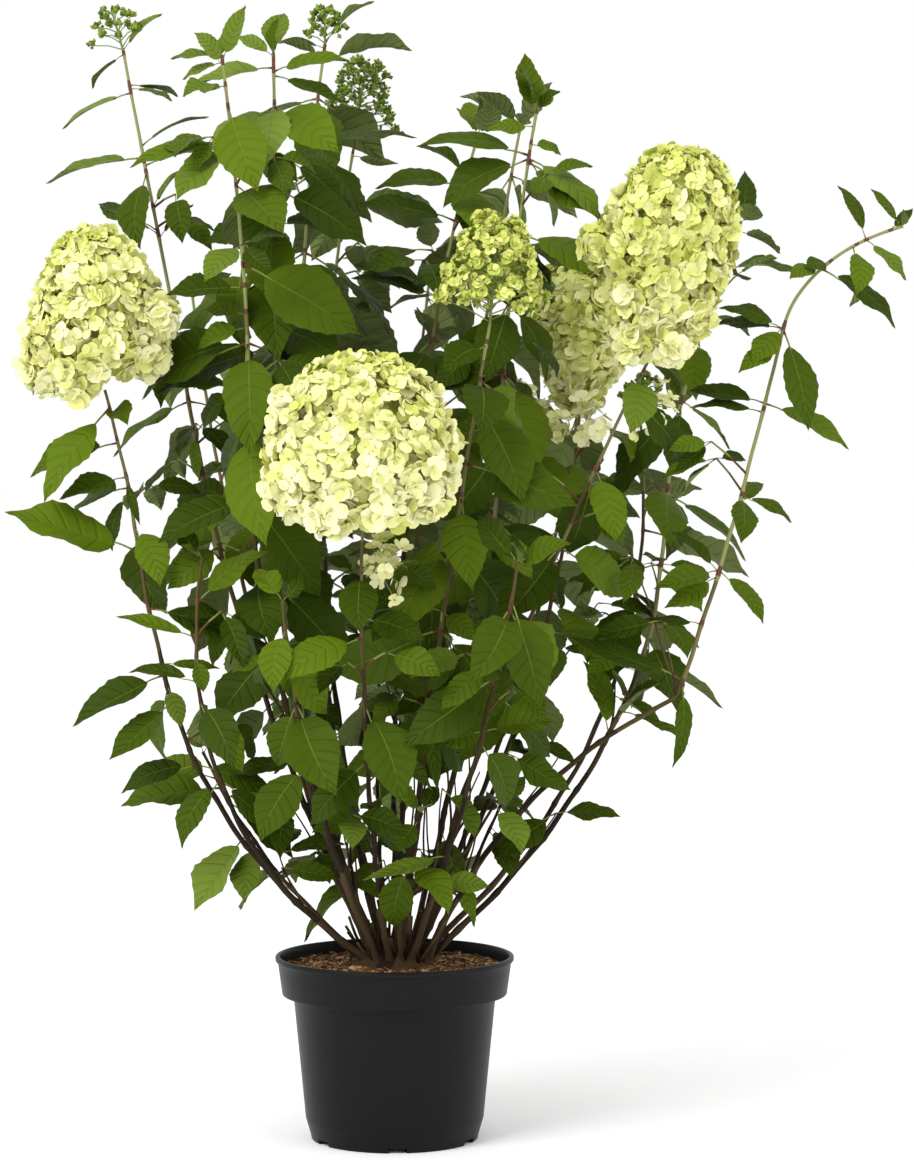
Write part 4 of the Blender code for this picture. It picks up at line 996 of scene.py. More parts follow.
# Leaf blades. Each is a thin closed shell, ovate with a drawn-out tip and fine teeth, folded along the
# midrib, waved at the edge and bent over. Tones are plain colours dealt out by leaf: the young tops and the
# low shaded leaves are yellower, leaves in the middle of the crown are dealt deeper greens as painted shade,
# and the undersides grey-green.
leafLook = dict(
    tops=("#54690F", "#495C0C", "#3E5009", "#344507", "#5C7020", "#6A7E2C"),
    unders=("#66733F", "#728049", "#5B6836"), ribTop="#5B6C20", topGloss=0.50, underGloss=0.70,
    deepToYellow=(3, 2, 1, 0, 4, 5), toneSteps=4.2, young=0.9, inside=0.55,
    teethRows=17, firstRow=0.035, lastRow=0.985, columns=(-1.0, -0.52, -0.022, 0.022, 0.52, 1.0),
    underColumns=(-0.52, 0.0, 0.52), underDrop=(1.0, 3.2, 1.0), belly=0.72, point=2.45, forward=0.80,
    teeth=0.034, fold=0.42, curl=0.28, wave=0.17, waves=2.1, thick=0.00035, veins=8.0, veinDepth=0.00090,
    underVeins=1.3, net=420.0, twist=0.50, sickle=0.08, nod=0.12, hump=0.045, widen=0.90,
    slender=dict(far_right=0.74, weak_left=0.85, far_left=0.88, upper_left=0.88),
)


# Rows of the blade, evenly spaced along its edge: the share s at which s + forward * s * (1 - s) is even.
slant = leafLook["forward"]
leafLook["rows"] = tuple((1 + slant - np.sqrt((1 + slant)**2 - 4 * slant * np.linspace(
    leafLook["firstRow"], leafLook["lastRow"], leafLook["teethRows"]))) / (2 * slant))


# Leaf tissue: waxy on top, so it takes a soft sheen, and matt beneath. The side veins are grooves that
# follow the blade's own coordinates, eight a side, about 12 mm apart; a finer net lies between them.
def leafSkin(name, code, gloss, depth, specular):
    made = plainFinish(name, code, gloss, specular)
    tree = made.node_tree
    shader = tree.nodes["Principled BSDF"]
    blade = addNode(tree, "ShaderNodeUVMap", dict(uv_map="blade"))
    split = addNode(tree, "ShaderNodeSeparateXYZ", links={"Vector": blade.outputs["UV"]})
    count = addNode(tree, "ShaderNodeMath", dict(operation="MULTIPLY"), {1: leafLook["veins"]},
                    {0: split.outputs["X"]})
    fold = addNode(tree, "ShaderNodeMath", dict(operation="PINGPONG"), {1: 0.5}, {0: count.outputs[0]})
    groove = addNode(tree, "ShaderNodeMapRange", dict(interpolation_type="SMOOTHSTEP"),
                     {"From Min": 0.0, "From Max": 0.20}, {"Value": fold.outputs[0]})
    place = addNode(tree, "ShaderNodeTexCoord")
    net = addNode(tree, "ShaderNodeTexNoise", inputs={"Scale": leafLook["net"], "Detail": 2.0},
                  links={"Vector": place.outputs["Object"]})
    fine = addNode(tree, "ShaderNodeMath", dict(operation="MULTIPLY_ADD"), {1: 0.14},
                   {0: net.outputs["Fac"], 2: groove.outputs["Result"]})
    bump = addNode(tree, "ShaderNodeBump", inputs={"Strength": 1.0, "Distance": depth},
                   links={"Height": fine.outputs[0]})
    sheen = addNode(tree, "ShaderNodeMapRange", inputs={"To Min": gloss - 0.07, "To Max": gloss + 0.10},
                    links={"Value": net.outputs["Fac"]})
    tree.links.new(bump.outputs["Normal"], shader.inputs["Normal"])
    tree.links.new(sheen.outputs["Result"], shader.inputs["Roughness"])
    return made


# One value of every leaf, as an array.
def column(batch, key):
    return np.array([leaf[key] for leaf in batch])


# Each midrib's control point: half way along or a little further, so that the tip nods, and lifted off the
# straight line by the leaf's own arch and a little more.
def bladePeaks(batch):
    frames = [leafFrame(leaf["root"], leaf["tip"], leaf["arch"], leaf["roll"]) for leaf in batch]
    peak, face, length = (np.array(part) for part in zip(*frames))
    reach = column(batch, "tip") - column(batch, "root")
    peak = peak + leafLook["nod"] * reach + leafLook["hump"] * length[:, None] * face
    return peak, face, length


# Points on every blade at once, and their places flat on the blade. The midrib is a quadratic curve from root
# to tip, the half width goes as s^belly * (1 - s)^point along it, and rows bend forward towards the edge as
# the side veins do.
def bladePoints(batch):
    n = len(batch)
    rng = np.random.default_rng(11)
    root, tip = column(batch, "root"), column(batch, "tip")
    slender = np.array([leafLook["slender"].get(leaf["shoot"], 1.0) for leaf in batch])
    width = column(batch, "width") * slender * leafLook["widen"]
    peak, face, length = bladePeaks(batch)
    rows = np.array(leafLook["rows"])
    stalk = growth["stalkShare"]
    belly, point = leafLook["belly"], leafLook["point"]
    most = (belly / (belly + point))**belly * (point / (belly + point))**point
    twist = rng.uniform(-1, 1, n) * leafLook["twist"]
    sickle = rng.uniform(-1, 1, n) * leafLook["sickle"]
    phase = rng.uniform(0, 2 * np.pi, (n, 2))
    waving = leafLook["wave"] * rng.uniform(0.3, 1.3, n)
    folding = leafLook["fold"] * rng.uniform(0.5, 1.3, n)
    curling = leafLook["curl"] * rng.uniform(0.4, 1.3, n)

    # points at grids of n x rows x columns: s along the blade and v across it
    def at(s, v, half, drop):
        u = stalk + (1 - stalk) * (s + leafLook["forward"] * s * (1 - s) * np.abs(v)**1.15)
        u = np.minimum(u, 1.0)[..., None]
        r, p, t = root[:, None, None], peak[:, None, None], tip[:, None, None]
        centre = (1 - u)**2 * r + 2 * u * (1 - u) * p + u * u * t
        forward = units(2 * (1 - u) * (p - r) + 2 * u * (t - p))
        normal = face[:, None, None] - forward * (forward * face[:, None, None]).sum(-1, keepdims=True)
        normal = units(normal)
        side = np.cross(forward, normal)
        angle = (twist[:, None, None] * (u[..., 0] - 0.35))[..., None]
        side, normal = (side * np.cos(angle) + normal * np.sin(angle),
                        normal * np.cos(angle) - side * np.sin(angle))
        size = np.abs(half)
        sidePhase = np.where(v < 0, phase[:, None, None, 0], phase[:, None, None, 1])
        lift = folding[:, None, None] * np.abs(v) * size - curling[:, None, None] * v**2 * size
        swing = np.sin(2 * np.pi * leafLook["waves"] * s + sidePhase)
        lift = lift + waving[:, None, None] * swing * v**2 * size
        bend = (sickle * length)[:, None, None, None] * 4 * u * (1 - u)
        return centre + side * (v * half)[..., None] + normal * (lift - drop)[..., None] + side * bend

    outline = rows**belly * (1 - rows)**point / most
    outline = outline * (1 + leafLook["teeth"] * np.where(np.arange(len(rows)) % 2, 1, -1))
    half = (width * length)[:, None] * outline[None] * (1 + 0.02 * rng.uniform(-1, 1, (n, len(rows))))

    # one skin of the blade at these columns, sunk by a drop for each
    def skin(across, drop):
        s = np.broadcast_to(rows[None, :, None], (n, len(rows), len(across)))
        v = np.broadcast_to(np.array(across), s.shape)
        made = at(s, v, np.broadcast_to(half[:, :, None], s.shape), np.broadcast_to(drop, s.shape))
        return made.reshape(n, -1, 3), np.stack([s, v * 0.5 + 0.5], -1).reshape(n, -1, 2)

    top, topFlat = skin(leafLook["columns"], 0.0)
    under, underFlat = skin(leafLook["underColumns"], np.array(leafLook["underDrop"]) * leafLook["thick"] * 2)
    zero = np.zeros((n, 2, 1))
    ends = at(np.broadcast_to(np.array([[0.0], [1.0]]), zero.shape), zero, zero, zero).reshape(n, -1, 3)
    endsFlat = np.broadcast_to(np.array([[0.0, 0.5], [1.0, 0.5]]), (n, 2, 2))
    return np.concatenate([top, under, ends], axis=1), np.concatenate([topFlat, underFlat, endsFlat], axis=1)


# The faces of one blade: five columns on top, the middle one the rib, four beneath, and a fan at each end. A
# face's slot is 0 on top, 1 beneath and 2 on the rib.
def bladeFaces():
    rows, columns = len(leafLook["rows"]), len(leafLook["columns"])
    below, ribColumn = len(leafLook["underColumns"]), 2
    r, c = np.meshgrid(np.arange(rows - 1), np.arange(columns - 1), indexing="ij")
    a = (r * columns + c).ravel()
    quads = np.stack([a, a + 1, a + 1 + columns, a + columns], axis=1)
    quadSlot = np.where(c.ravel() == ribColumn, 2, 0)
    base = rows * columns + rows * below
    left = np.arange(rows)[:, None] * columns
    between = rows * columns + np.arange(rows * below).reshape(rows, below)
    rim = np.concatenate([left, between, left + columns - 1], axis=1)
    under = np.stack([rim[:-1, :-1], rim[1:, :-1], rim[1:, 1:], rim[:-1, 1:]], axis=-1).reshape(-1, 4)
    first, last = np.arange(columns), (rows - 1) * columns + np.arange(columns)
    fans = [fan(base, first[1:], first[:-1]), fan(base + 1, last[:-1], last[1:]),
            fan(base, rim[0, :-1], rim[0, 1:]), fan(base + 1, rim[-1, 1:], rim[-1, :-1])]
    fanSlot = [np.where(np.arange(columns - 1) == ribColumn, 2, 0)] * 2 + [np.ones(below + 1, int)] * 2
    return (np.concatenate([quads, under]), np.concatenate([quadSlot, np.ones(len(under), int)]),
            np.concatenate(fans), np.concatenate(fanSlot))


leafFinishes = [leafSkin(f"leafTop{k + 1}", code, leafLook["topGloss"], leafLook["veinDepth"], 0.06)
                for k, code in enumerate(leafLook["tops"])]
underDepth = leafLook["veinDepth"] * leafLook["underVeins"]
leafFinishes += [leafSkin(f"leafUnder{k + 1}", code, leafLook["underGloss"], underDepth, 0.08)
                 for k, code in enumerate(leafLook["unders"])]
leafFinishes.append(leafSkin("leafRib", leafLook["ribTop"], 0.5, 0.0001, 0.1))


# Deals each leaf its tone by a score, which is luck + young - inside: low leaves and the topmost young ones
# go towards the yellow end, and those near the crown's middle towards the deep end, as painted shade.
def dealTones(batch):
    rng = np.random.default_rng(5)
    height = column(batch, "root")[:, 2]
    out = np.hypot(*column(batch, "tip")[:, :2].T)
    young = np.clip((height - 1.0) / 0.2, 0, 1) + 0.5 * np.clip((0.42 - height) / 0.15, 0, 1)
    # inside: leaves whose tips stay near the crown's middle get deeper tones, which is painted shade
    inside = np.clip((0.22 - out) / 0.2, 0, 1)
    score = rng.uniform(0, 1, len(batch)) + leafLook["young"] * young - leafLook["inside"] * inside
    order = np.array(leafLook["deepToYellow"])
    top = order[np.clip((score * leafLook["toneSteps"]).astype(int), 0, len(order) - 1)]
    return top, rng.integers(0, len(leafLook["unders"]), len(batch)) + len(leafLook["tops"])


# Joins many leaves into one piece, whose toothed rims stay sharp, and replaces the nodes that bear them.
def joinLeaves(name, batch, nodes):
    points, flat = bladePoints(batch)
    n, stride = points.shape[:2]
    quads, quadSlot, fans, fanSlot = bladeFaces()
    tone, beneath = dealTones(batch)
    pick = np.stack([tone, beneath, np.full(n, len(leafFinishes) - 1)], axis=1)
    rows, columns = len(leafLook["rows"]), len(leafLook["columns"])
    rim = np.zeros(stride, bool)
    rim[np.arange(rows) * columns] = True
    rim[np.arange(rows) * columns + columns - 1] = True
    rim[-2:] = True
    made = putMesh(name, points.reshape(-1, 3), [
        (repeated(quads, n, stride), pick[:, quadSlot].ravel()),
        (repeated(fans, n, stride), pick[:, fanSlot].ravel()),
    ], leafFinishes, rim=np.tile(rim, n))
    putUv(made, flat.reshape(-1, 2))
    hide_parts(*nodes)
    return made


flowering = ("far_left", "centre_front", "right_bloom", "green_bloom", "back_right")
leafy = [leaf for leaf in leaves if leaf["shoot"] not in flowering]
beside = [leaf for leaf in leaves if leaf["shoot"] in flowering]
leafyNodes = ["shoot_" + name for name in starts if name not in flowering]
floweringNodes = ["shoot_" + name for name in flowering]
joinLeaves("leaves_leafy_shoots", leafy, leafyNodes)
joinLeaves("leaves_flowering_shoots", beside, floweringNodes)
print("leaf blades joined")


# Leaf stalks and side twigs: thin four-sided limbs, reddish where they leave the stem and green beyond.
# Shares and radii go along a stalk, and a twig's taper is beside its own thickness.
stalkLook = dict(red="#64422F", green="#76833E", shares=(0.0, 0.055, 0.11, 0.165, 0.24),
                 radii=(0.00150, 0.00105, 0.00095, 0.00085, 0.00035), full=0.11, sink=0.0008, rise=0.002,
                 taper=(1.3, 1.1, 1.0))


# Tubes round rows of centres for many limbs at once: each ring is centre + radius * (cos * a + sin * b).
# Gives the points and, for one tube, its side faces, its two end faces and the row of each side face.
def manyTubes(centres, radii, sides):
    n, rows = centres.shape[:2]
    heading = units(np.gradient(centres, axis=1))
    a = units(np.cross(heading, np.array([0.31, 0.90, 0.21])))
    b = np.cross(heading, a)
    ring = around(evenTurns(sides), a[:, :, None], b[:, :, None])
    points = centres[:, :, None] + radii[..., None, None] * ring
    faces, row = bandFaces(rows, sides)
    foot = np.arange(sides)
    ends = np.array([foot[::-1], (rows - 1) * sides + foot])
    return points.reshape(n, -1, 3), faces, ends, row


# Four-sided tubes of several kinds as the points and face groups of one mesh. Each kind is its centres, its
# radii and the slots of its foot row and of the rest.
def joinTubes(kinds):
    parts, groups, start = [], [], 0
    for centres, radii, footSlot, slot in kinds:
        points, faces, ends, row = manyTubes(centres, np.broadcast_to(radii, centres.shape[:2]), 4)
        n, stride = points.shape[:2]
        groups.append((repeated(faces, n, stride) + start, np.tile(np.where(row < 1, footSlot, slot), n)))
        groups.append((repeated(ends, n, stride) + start, np.tile([footSlot, slot], n)))
        parts.append(points.reshape(-1, 3))
        start += n * stride
    return parts, groups


# A stalk follows its leaf's own midrib, a little under it where they meet, and is thinner on a short leaf. A
# side twig rises a little between its ends.
def joinStalks():
    root, tip = column(leaves, "root"), column(leaves, "tip")
    peak = bladePeaks(leaves)[0]
    u = np.array(stalkLook["shares"])[None, :, None]
    stalks = onCurve(root[:, None], peak[:, None], tip[:, None], u)
    stalks[:, -2:] -= stalkLook["sink"] * up
    short = np.clip(np.linalg.norm(tip - root, axis=1) / stalkLook["full"], 0.5, 1.2)
    lift = stalkLook["rise"] * up
    sprouts = np.array([[low, low + 0.5 * (high - low) + lift, high] for low, high in twigs])
    parts, groups = joinTubes([
        (stalks, np.array(stalkLook["radii"])[None] * short[:, None], 0, 1),
        (sprouts, twigLook["thick"] * np.array(stalkLook["taper"]), 0, 1),
    ])
    return putMesh("leaf_stalks_and_twigs", np.concatenate(parts), groups, [
        grain(plainFinish("stalkRed", stalkLook["red"], 0.6, 0.12), 0.002, 0.0001, 0.06),
        grain(plainFinish("stalkGreen", stalkLook["green"], 0.6, 0.15), 0.002, 0.0001, 0.06)])


joinStalks()
print("stalks and twigs joined")


# Canes and stems. Each is one limb from the woody crown to the tip, swollen at its leaf nodes, with bark
# that splits lengthwise low down and smooth green skin near the top. Tones run up it by height: cork at the
# foot, dark bark, then brown and green; the younger canes turn green sooner by this many metres.
caneLook = dict(
    tones=("#483A27", "#281E11", "#392D18", "#504525", "#6E673F", "#868A54", "#62402F"),
    turns=(0.275, 0.38, 0.52, 0.68, 0.86), younger=dict(far_right=0.22, slim_right=0.25), sides=9,
    spacing=0.0055, slim=0.84, node=0.26, nodeReach=0.0036, caneNodes=0.070, nodeStray=0.012, lowNodes=0.45,
    ridge=0.07, ridgeAcross=0.010, ridgeAlong=0.35, wander=0.0011, ringsFrom=0.55, stemFoot=0.0031,
    smoothing=14, footSwell=0.30, footReach=0.02, sunk=0.012, sunkWider=1.05, smoothFrom=1.25,
    smoothOver=0.85, smoothest=0.12, mottle=0.06, mottleSize=0.12, youngerFrom=0.42, youngerOver=0.12,
)


# Parallel rings along a line: the radius is the taper times one plus swellings at the nodes and ridges of
# long shallow sine relief, which fade upwards. A ring's tone goes by its height; a node high up has its own.
def caneSkin(line, radii, nodes, seed, younger=0.0):
    rng = np.random.default_rng(seed)
    length = np.concatenate([[0], np.cumsum(np.linalg.norm(np.diff(line, axis=0), axis=1))])
    count = max(8, int(length[-1] / caneLook["spacing"]))
    s = np.linspace(0, length[-1], count)
    centre = np.stack([np.interp(s, length, line[:, k]) for k in range(3)], axis=1)
    radius = np.interp(s, length, radii) * caneLook["slim"]
    low = np.arange(caneLook["caneNodes"] * 0.6, length[-1], caneLook["caneNodes"])
    low = low + rng.uniform(-caneLook["nodeStray"], caneLook["nodeStray"], len(low))
    marks = np.concatenate([length[np.array(nodes, int)], low[low < caneLook["lowNodes"] * length[-1]]])
    away = (s[:, None] - marks[None]) / caneLook["nodeReach"]
    swell = np.minimum(np.exp(-away**2).sum(axis=1), 1.0)
    heading = units(np.gradient(centre, axis=0))
    a = units(np.cross(heading, np.array([0.31, 0.95, 0.05])))
    b = np.cross(heading, a)
    turn = evenTurns(caneLook["sides"])
    grainAt = np.stack(np.broadcast_arrays(
        np.cos(turn) * caneLook["ridgeAcross"], np.sin(turn) * caneLook["ridgeAcross"],
        s[:, None] * caneLook["ridgeAlong"]), axis=-1)
    rough = ripple(grainAt, 0.009, seed + 1) + 0.6 * ripple(grainAt * 2.3, 0.007, seed + 2)
    fade = np.clip(caneLook["smoothFrom"] - centre[:, 2] / caneLook["smoothOver"], caneLook["smoothest"], 1)
    wide = radius[:, None] * (1 + caneLook["node"] * swell[:, None]
                              + caneLook["ridge"] * fade[:, None] * rough)
    sway = np.stack([np.sin(s * 70 + seed), np.cos(s * 53 + seed * 2), 0 * s], axis=1)
    wander = caneLook["wander"] * fade[:, None] * sway
    wander[:2] = 0
    points = centre[:, None] + wander[:, None] + wide[..., None] * around(turn, a[:, None], b[:, None])
    age = centre[:, 2] + caneLook["mottle"] * ripple(centre, caneLook["mottleSize"], seed + 3)
    age = age + younger * np.clip((centre[:, 2] - caneLook["youngerFrom"]) / caneLook["youngerOver"], 0, 1)
    tone = np.searchsorted(caneLook["turns"], age)
    ringed = (swell > 0.6) & (centre[:, 2] > caneLook["ringsFrom"])
    return points, np.where(ringed, len(caneLook["tones"]) - 1, tone)


# Joins limbs of any length: the rings become quads, and a fan closes each end.
def joinLimbs(parts):
    points, quads, quadSlot, fans, fanSlot = [], [], [], [], []
    start = 0
    for ring, tone in parts:
        rows, sides = ring.shape[:2]
        faces, row = bandFaces(rows, sides)
        quads.append(faces + start)
        quadSlot.append(tone[row])
        points += [ring.reshape(-1, 3), ring[0].mean(axis=0)[None], ring[-1].mean(axis=0)[None]]
        k, following = np.arange(sides), (np.arange(sides) + 1) % sides
        last, middle = start + (rows - 1) * sides, start + rows * sides
        fans += [fan(middle, start + following, start + k), fan(middle + 1, last + k, last + following)]
        fanSlot += [np.full(sides, tone[0]), np.full(sides, tone[-1])]
        start += rows * sides + 2
    return np.concatenate(points), [(np.concatenate(quads), np.concatenate(quadSlot)),
                                    (np.concatenate(fans), np.concatenate(fanSlot))]


# Bark is dull brown cork, finely split and deeper on the three oldest tones; green stem skin is smoother. The
# tones are plain, dealt out by ring.
bark = []
for k, code in enumerate(caneLook["tones"]):
    size, depth = (0.0022, 0.0007) if k < 3 else (0.0040, 0.0003)
    finish = plainFinish(f"caneSkin{k + 1}", code, 0.82 - 0.06 * min(k, 4), 0.16)
    bark.append(grain(finish, size, depth, 0.08))

canes, stems, caneNames = [], [], []
for index, (name, shoot) in enumerate(shoots.items()):
    line = lines[name]
    nodeRoots = [leaf["root"] for leaf in leaves if leaf["shoot"] == name and leaf["kind"] == "main"]
    nodes = sorted({int(np.argmin(np.linalg.norm(line - root, axis=1))) for root in nodeRoots})
    grounded = shoot["leafy"] is None
    if name == "far_right":
        # one bent limb: its low stretch runs into the upper one through a smooth turn
        low = lines["far_right_low"]
        nodes = [n + len(low) for n in nodes]
        line = np.concatenate([low, line])
        for _ in range(caneLook["smoothing"]):
            line[1:-1] = (line[:-2] + 2 * line[1:-1] + line[2:]) / 4
    if grounded:
        radii = np.linspace(caneLook["stemFoot"], growth["tipRadius"], len(line))
    else:
        flare = np.exp(-np.arange(len(line)) / (caneLook["footReach"] * len(line)))
        radii = radiusAlong(np.linspace(0, 1, len(line))) * (1 + caneLook["footSwell"] * flare)
        caneNames.append("cane_" + name)
    # the foot goes on down into the crown
    line = np.concatenate([[line[0] - caneLook["sunk"] * up], line])
    radii = np.concatenate([[radii[0] * caneLook["sunkWider"]], radii])
    nodes = [n + 1 for n in nodes]
    skin = caneSkin(line, radii, nodes, index * 7 + 3, caneLook["younger"].get(name, 0.0))
    (stems if grounded else canes).append(skin)
caneNames.append("cane_far_right_low")
points, groups = joinLimbs(canes)
caneMesh = putMesh("canes", points, groups, bark)
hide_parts(*caneNames)
for k, curve in enumerate(slender):
    radii = np.linspace(slenderLook["thick"], slenderLook["thin"], len(curve))
    stems.append(caneSkin(curve, radii, [], 900 + k))
points, groups = joinLimbs(stems)
putMesh("low_stems", points, groups, bark)
print("canes and stems built")


# The woody crown: a knotty mound where the old canes have grown together, stuck with short cut stubs. Its
# height over the compost is a broad dome plus a ridge at every cane's foot and rough relief.
crownLook = dict(radius=0.046, inner=0.0012, rings=46, spokes=150, lobes=((3, 0.10, 0.7), (7, 0.06, 2.0)),
                 foot=0.1860, under=0.182, drawnIn=1.0, dome=0.015, ridge=0.026, ridgeWidth=0.0080,
                 rough=0.0085, tones=("#2A2014", "#443522", "#645038"), stubs=46, stubFoot=0.196,
                 stubOut=(0.010, 0.040), stubLean=(0.2, 1.1), stubRise=(0.014, 0.060),
                 stubThick=(0.0012, 0.0044))
feet = np.array([line[0] for name, line in lines.items() if name != "far_right"])


# foot + edge^0.7 * (dome + ridge * nearness to a cane's foot + rough relief), where edge falls off outwards.
def crownHeight(x, y):
    edge = np.clip(1 - (np.hypot(x, y) / crownLook["radius"])**2, 0, 1)
    apart = (x[..., None] - feet[:, 0])**2 + (y[..., None] - feet[:, 1])**2
    near = np.exp(-apart / crownLook["ridgeWidth"]**2).max(axis=-1)
    ground = np.stack([x, y, 0 * x], axis=-1)
    rough = ripple(ground, 0.012, 31) + 0.7 * ripple(ground, 0.005, 32)
    return crownLook["foot"] + edge**0.7 * (crownLook["dome"] + crownLook["ridge"] * near
                                            + crownLook["rough"] * rough)


# Rings of a round heap from a skirt under its edge up to its middle: the radius is r times one plus a few
# lobes, depth * sin(count * turn + phase).
def heap(look, height):
    radii = np.linspace(look["inner"], look["radius"], look["rings"])
    r, t = np.meshgrid(radii, evenTurns(look["spokes"]), indexing="ij")
    lobes = 1
    for count, depth, phase in look["lobes"]:
        lobes = lobes + depth * np.sin(count * t + phase)
    x, y = r * lobes * np.cos(t), r * lobes * np.sin(t)
    rings = np.stack([x, y, height(x, y)], axis=-1)
    skirt = rings[-1] * look["drawnIn"]
    skirt[:, 2] = look["under"]
    return np.concatenate([rings, skirt[None]])[::-1]


mound = heap(crownLook, crownHeight)
tone = np.clip((1.4 + 1.3 * ripple(mound.mean(axis=1), 0.02, 33)).astype(int), 0, 2)
stubParts = []
rng = np.random.default_rng(8)
for k in range(crownLook["stubs"]):
    turn, out = k * goldenTurn + 0.5, rng.uniform(*crownLook["stubOut"])
    foot = np.array([out * math.cos(turn), out * math.sin(turn), crownLook["stubFoot"]])
    lean, rise = rng.uniform(*crownLook["stubLean"]), rng.uniform(*crownLook["stubRise"])
    top = foot + np.array([lean * foot[0], lean * foot[1], rise])
    thick = rng.uniform(*crownLook["stubThick"])
    stubParts.append(caneSkin(np.linspace(foot, top, 12), np.linspace(thick, thick * 0.8, 12), [], 200 + k))
barkOld = toneFinishes("oldWood", crownLook["tones"], 0.9, 0.12, 0.0016, 0.0009, 0.05)
parts = [(mound, tone)] + [(skin, (tone + k) % 3) for k, (skin, tone) in enumerate(stubParts)]
points, groups = joinLimbs(parts)
crown = putMesh("woody_crown_knots", points, groups, barkOld)
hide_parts("woody_crown")
print("woody crown built")


# The pot: black polypropylene, injection moulded, so it has a satin skin with a faint orange-peel and soft
# rounded edges. Its profile in millimetres runs down the outside and back up the inside. Notches are turns in
# degrees and metres, and the foot ring's middle stands at ringRadius.
potLook = dict(colour="#0C0C0D", rough=0.42, specular=0.15, peel=0.0016, peelDepth=0.00006, spokes=144,
               notches=6, notchTurn=273.0, notchWide=0.0200, notchHigh=0.0062, notchSlope=0.0012,
               ringRadius=0.0905, ringInner=0.0745)
potProfile = np.array([
    (125.3, 199.2), (125.7, 199.8), (126.4, 200.0), (128.6, 200.0), (129.5, 199.6), (130.0, 198.9),
    (130.0, 195.4), (129.7, 194.7), (128.9, 194.1), (127.6, 193.5), (127.2, 192.9), (126.2, 184.6),
    (124.4, 171.8), (122.8, 160.2), (122.6, 158.9), (122.1, 158.2), (121.3, 157.9), (111.6, 156.9),
    (110.6, 156.5), (110.2, 155.7), (107.0, 123.0), (103.7, 90.0), (100.4, 56.5), (97.1, 22.9),
    (96.8, 21.7), (96.2, 20.0), (92.3, 6.6), (91.9, 5.4), (91.6, 4.4), (90.9, 0.6), (90.2, 0.0),
    (76.4, 0.0), (75.9, 0.5), (75.4, 4.4), (74.8, 4.8), (74.0, 5.0), (33.0, 5.0), (32.3, 4.6),
    (31.3, 0.4), (30.8, 0.0), (14.0, 0.0), (0.4, 0.0), (0.4, 7.5), (40.0, 7.5), (87.6, 7.5), (88.6, 8.2),
    (94.8, 22.2), (101.4, 89.0), (108.3, 158.9), (109.0, 159.6), (119.8, 160.7), (120.6, 161.3),
    (121.9, 171.9), (123.6, 183.0), (125.0, 192.9),
]) / 1000


# Turned about the axis: (r cos t, r sin t, z). In a notch's window the foot ring's low points rise.
def turnedPot():
    half = potLook["notchWide"] / 2 / potLook["ringRadius"]
    middles = np.radians(potLook["notchTurn"] + 360 / potLook["notches"] * np.arange(potLook["notches"]))
    windows = middles[:, None] + np.array([-half, 0.004 - half, half - 0.004, half])
    t = np.concatenate([evenTurns(potLook["spokes"]), np.mod(windows.ravel(), 2 * np.pi)])
    t = np.unique(np.round(t, 6))
    off = np.abs((t[:, None] - middles[None] + np.pi) % (2 * np.pi) - np.pi)
    cut = off.min(axis=1) < half - 0.002
    r, z = potProfile[:, 0][:, None] + 0 * t, potProfile[:, 1][:, None] + 0 * t
    ring = (potProfile[:, 0] > potLook["ringInner"]) & (potProfile[:, 1] < potLook["notchHigh"])
    raised = np.maximum(z, potLook["notchHigh"] - potLook["notchSlope"])
    return np.stack([r * np.cos(t), r * np.sin(t), np.where(ring[:, None] & cut[None], raised, z)], axis=-1)


shell = turnedPot()
rows, spokes = shell.shape[:2]
quads = bandFaces(rows + 1, spokes)[0][:, [0, 3, 2, 1]] % (rows * spokes)
polypropylene = plainFinish("mouldedPolypropylene", potLook["colour"], potLook["rough"], potLook["specular"])
grain(polypropylene, potLook["peel"], potLook["peelDepth"], 0.05)
pot = putMesh("nursery_pot", shell.reshape(-1, 3), [(quads, np.zeros(len(quads), int))], [polypropylene])
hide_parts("pot")
print("pot turned")


# Compost: shredded bark and peat, brown and open, with chips and fibres lying every way on a lumpy bed. Chip
# sizes are half their length, breadth and thickness.
compostLook = dict(
    level=0.1892, edge=0.1868, slopeFrom=0.056, slopeOver=0.066, radius=0.1238, inner=0.001, rings=70,
    spokes=220, lobes=(), under=0.172, drawnIn=0.978, lump=0.0016, chips=1500, chipEdge=0.008,
    chipSizes=((0.0015, 0.0060), (0.0005, 0.0019), (0.0002, 0.0007)), chipWarp=0.15,
    fibres=1100, fibreEdge=0.012, fibreSpan=(0.006, 0.016), fibreThick=(0.00025, 0.00055),
    tones=("#3A2619", "#5A3C27", "#7A5536", "#9A7550", "#B39468"),
)


# The bed's height: level in the middle, down to the edge over a slope, plus lumps of sine relief.
def bedHeight(x, y):
    ground = np.stack([x, y, 0 * x], axis=-1)
    down = np.clip((np.hypot(x, y) - compostLook["slopeFrom"]) / compostLook["slopeOver"], 0, 1)
    slope = compostLook["level"] + (compostLook["edge"] - compostLook["level"]) * down
    return slope + compostLook["lump"] * (ripple(ground, 0.022, 41) + 0.6 * ripple(ground, 0.008, 42))


# Places spread evenly over the bed, from this share of its area out to a margin.
def scattered(rng, count, share, margin):
    out = np.sqrt(rng.uniform(share, 1, count)) * (compostLook["radius"] - margin)
    turn = rng.uniform(0, 2 * np.pi, count)
    return np.stack([out * np.cos(turn), out * np.sin(turn)], axis=1)


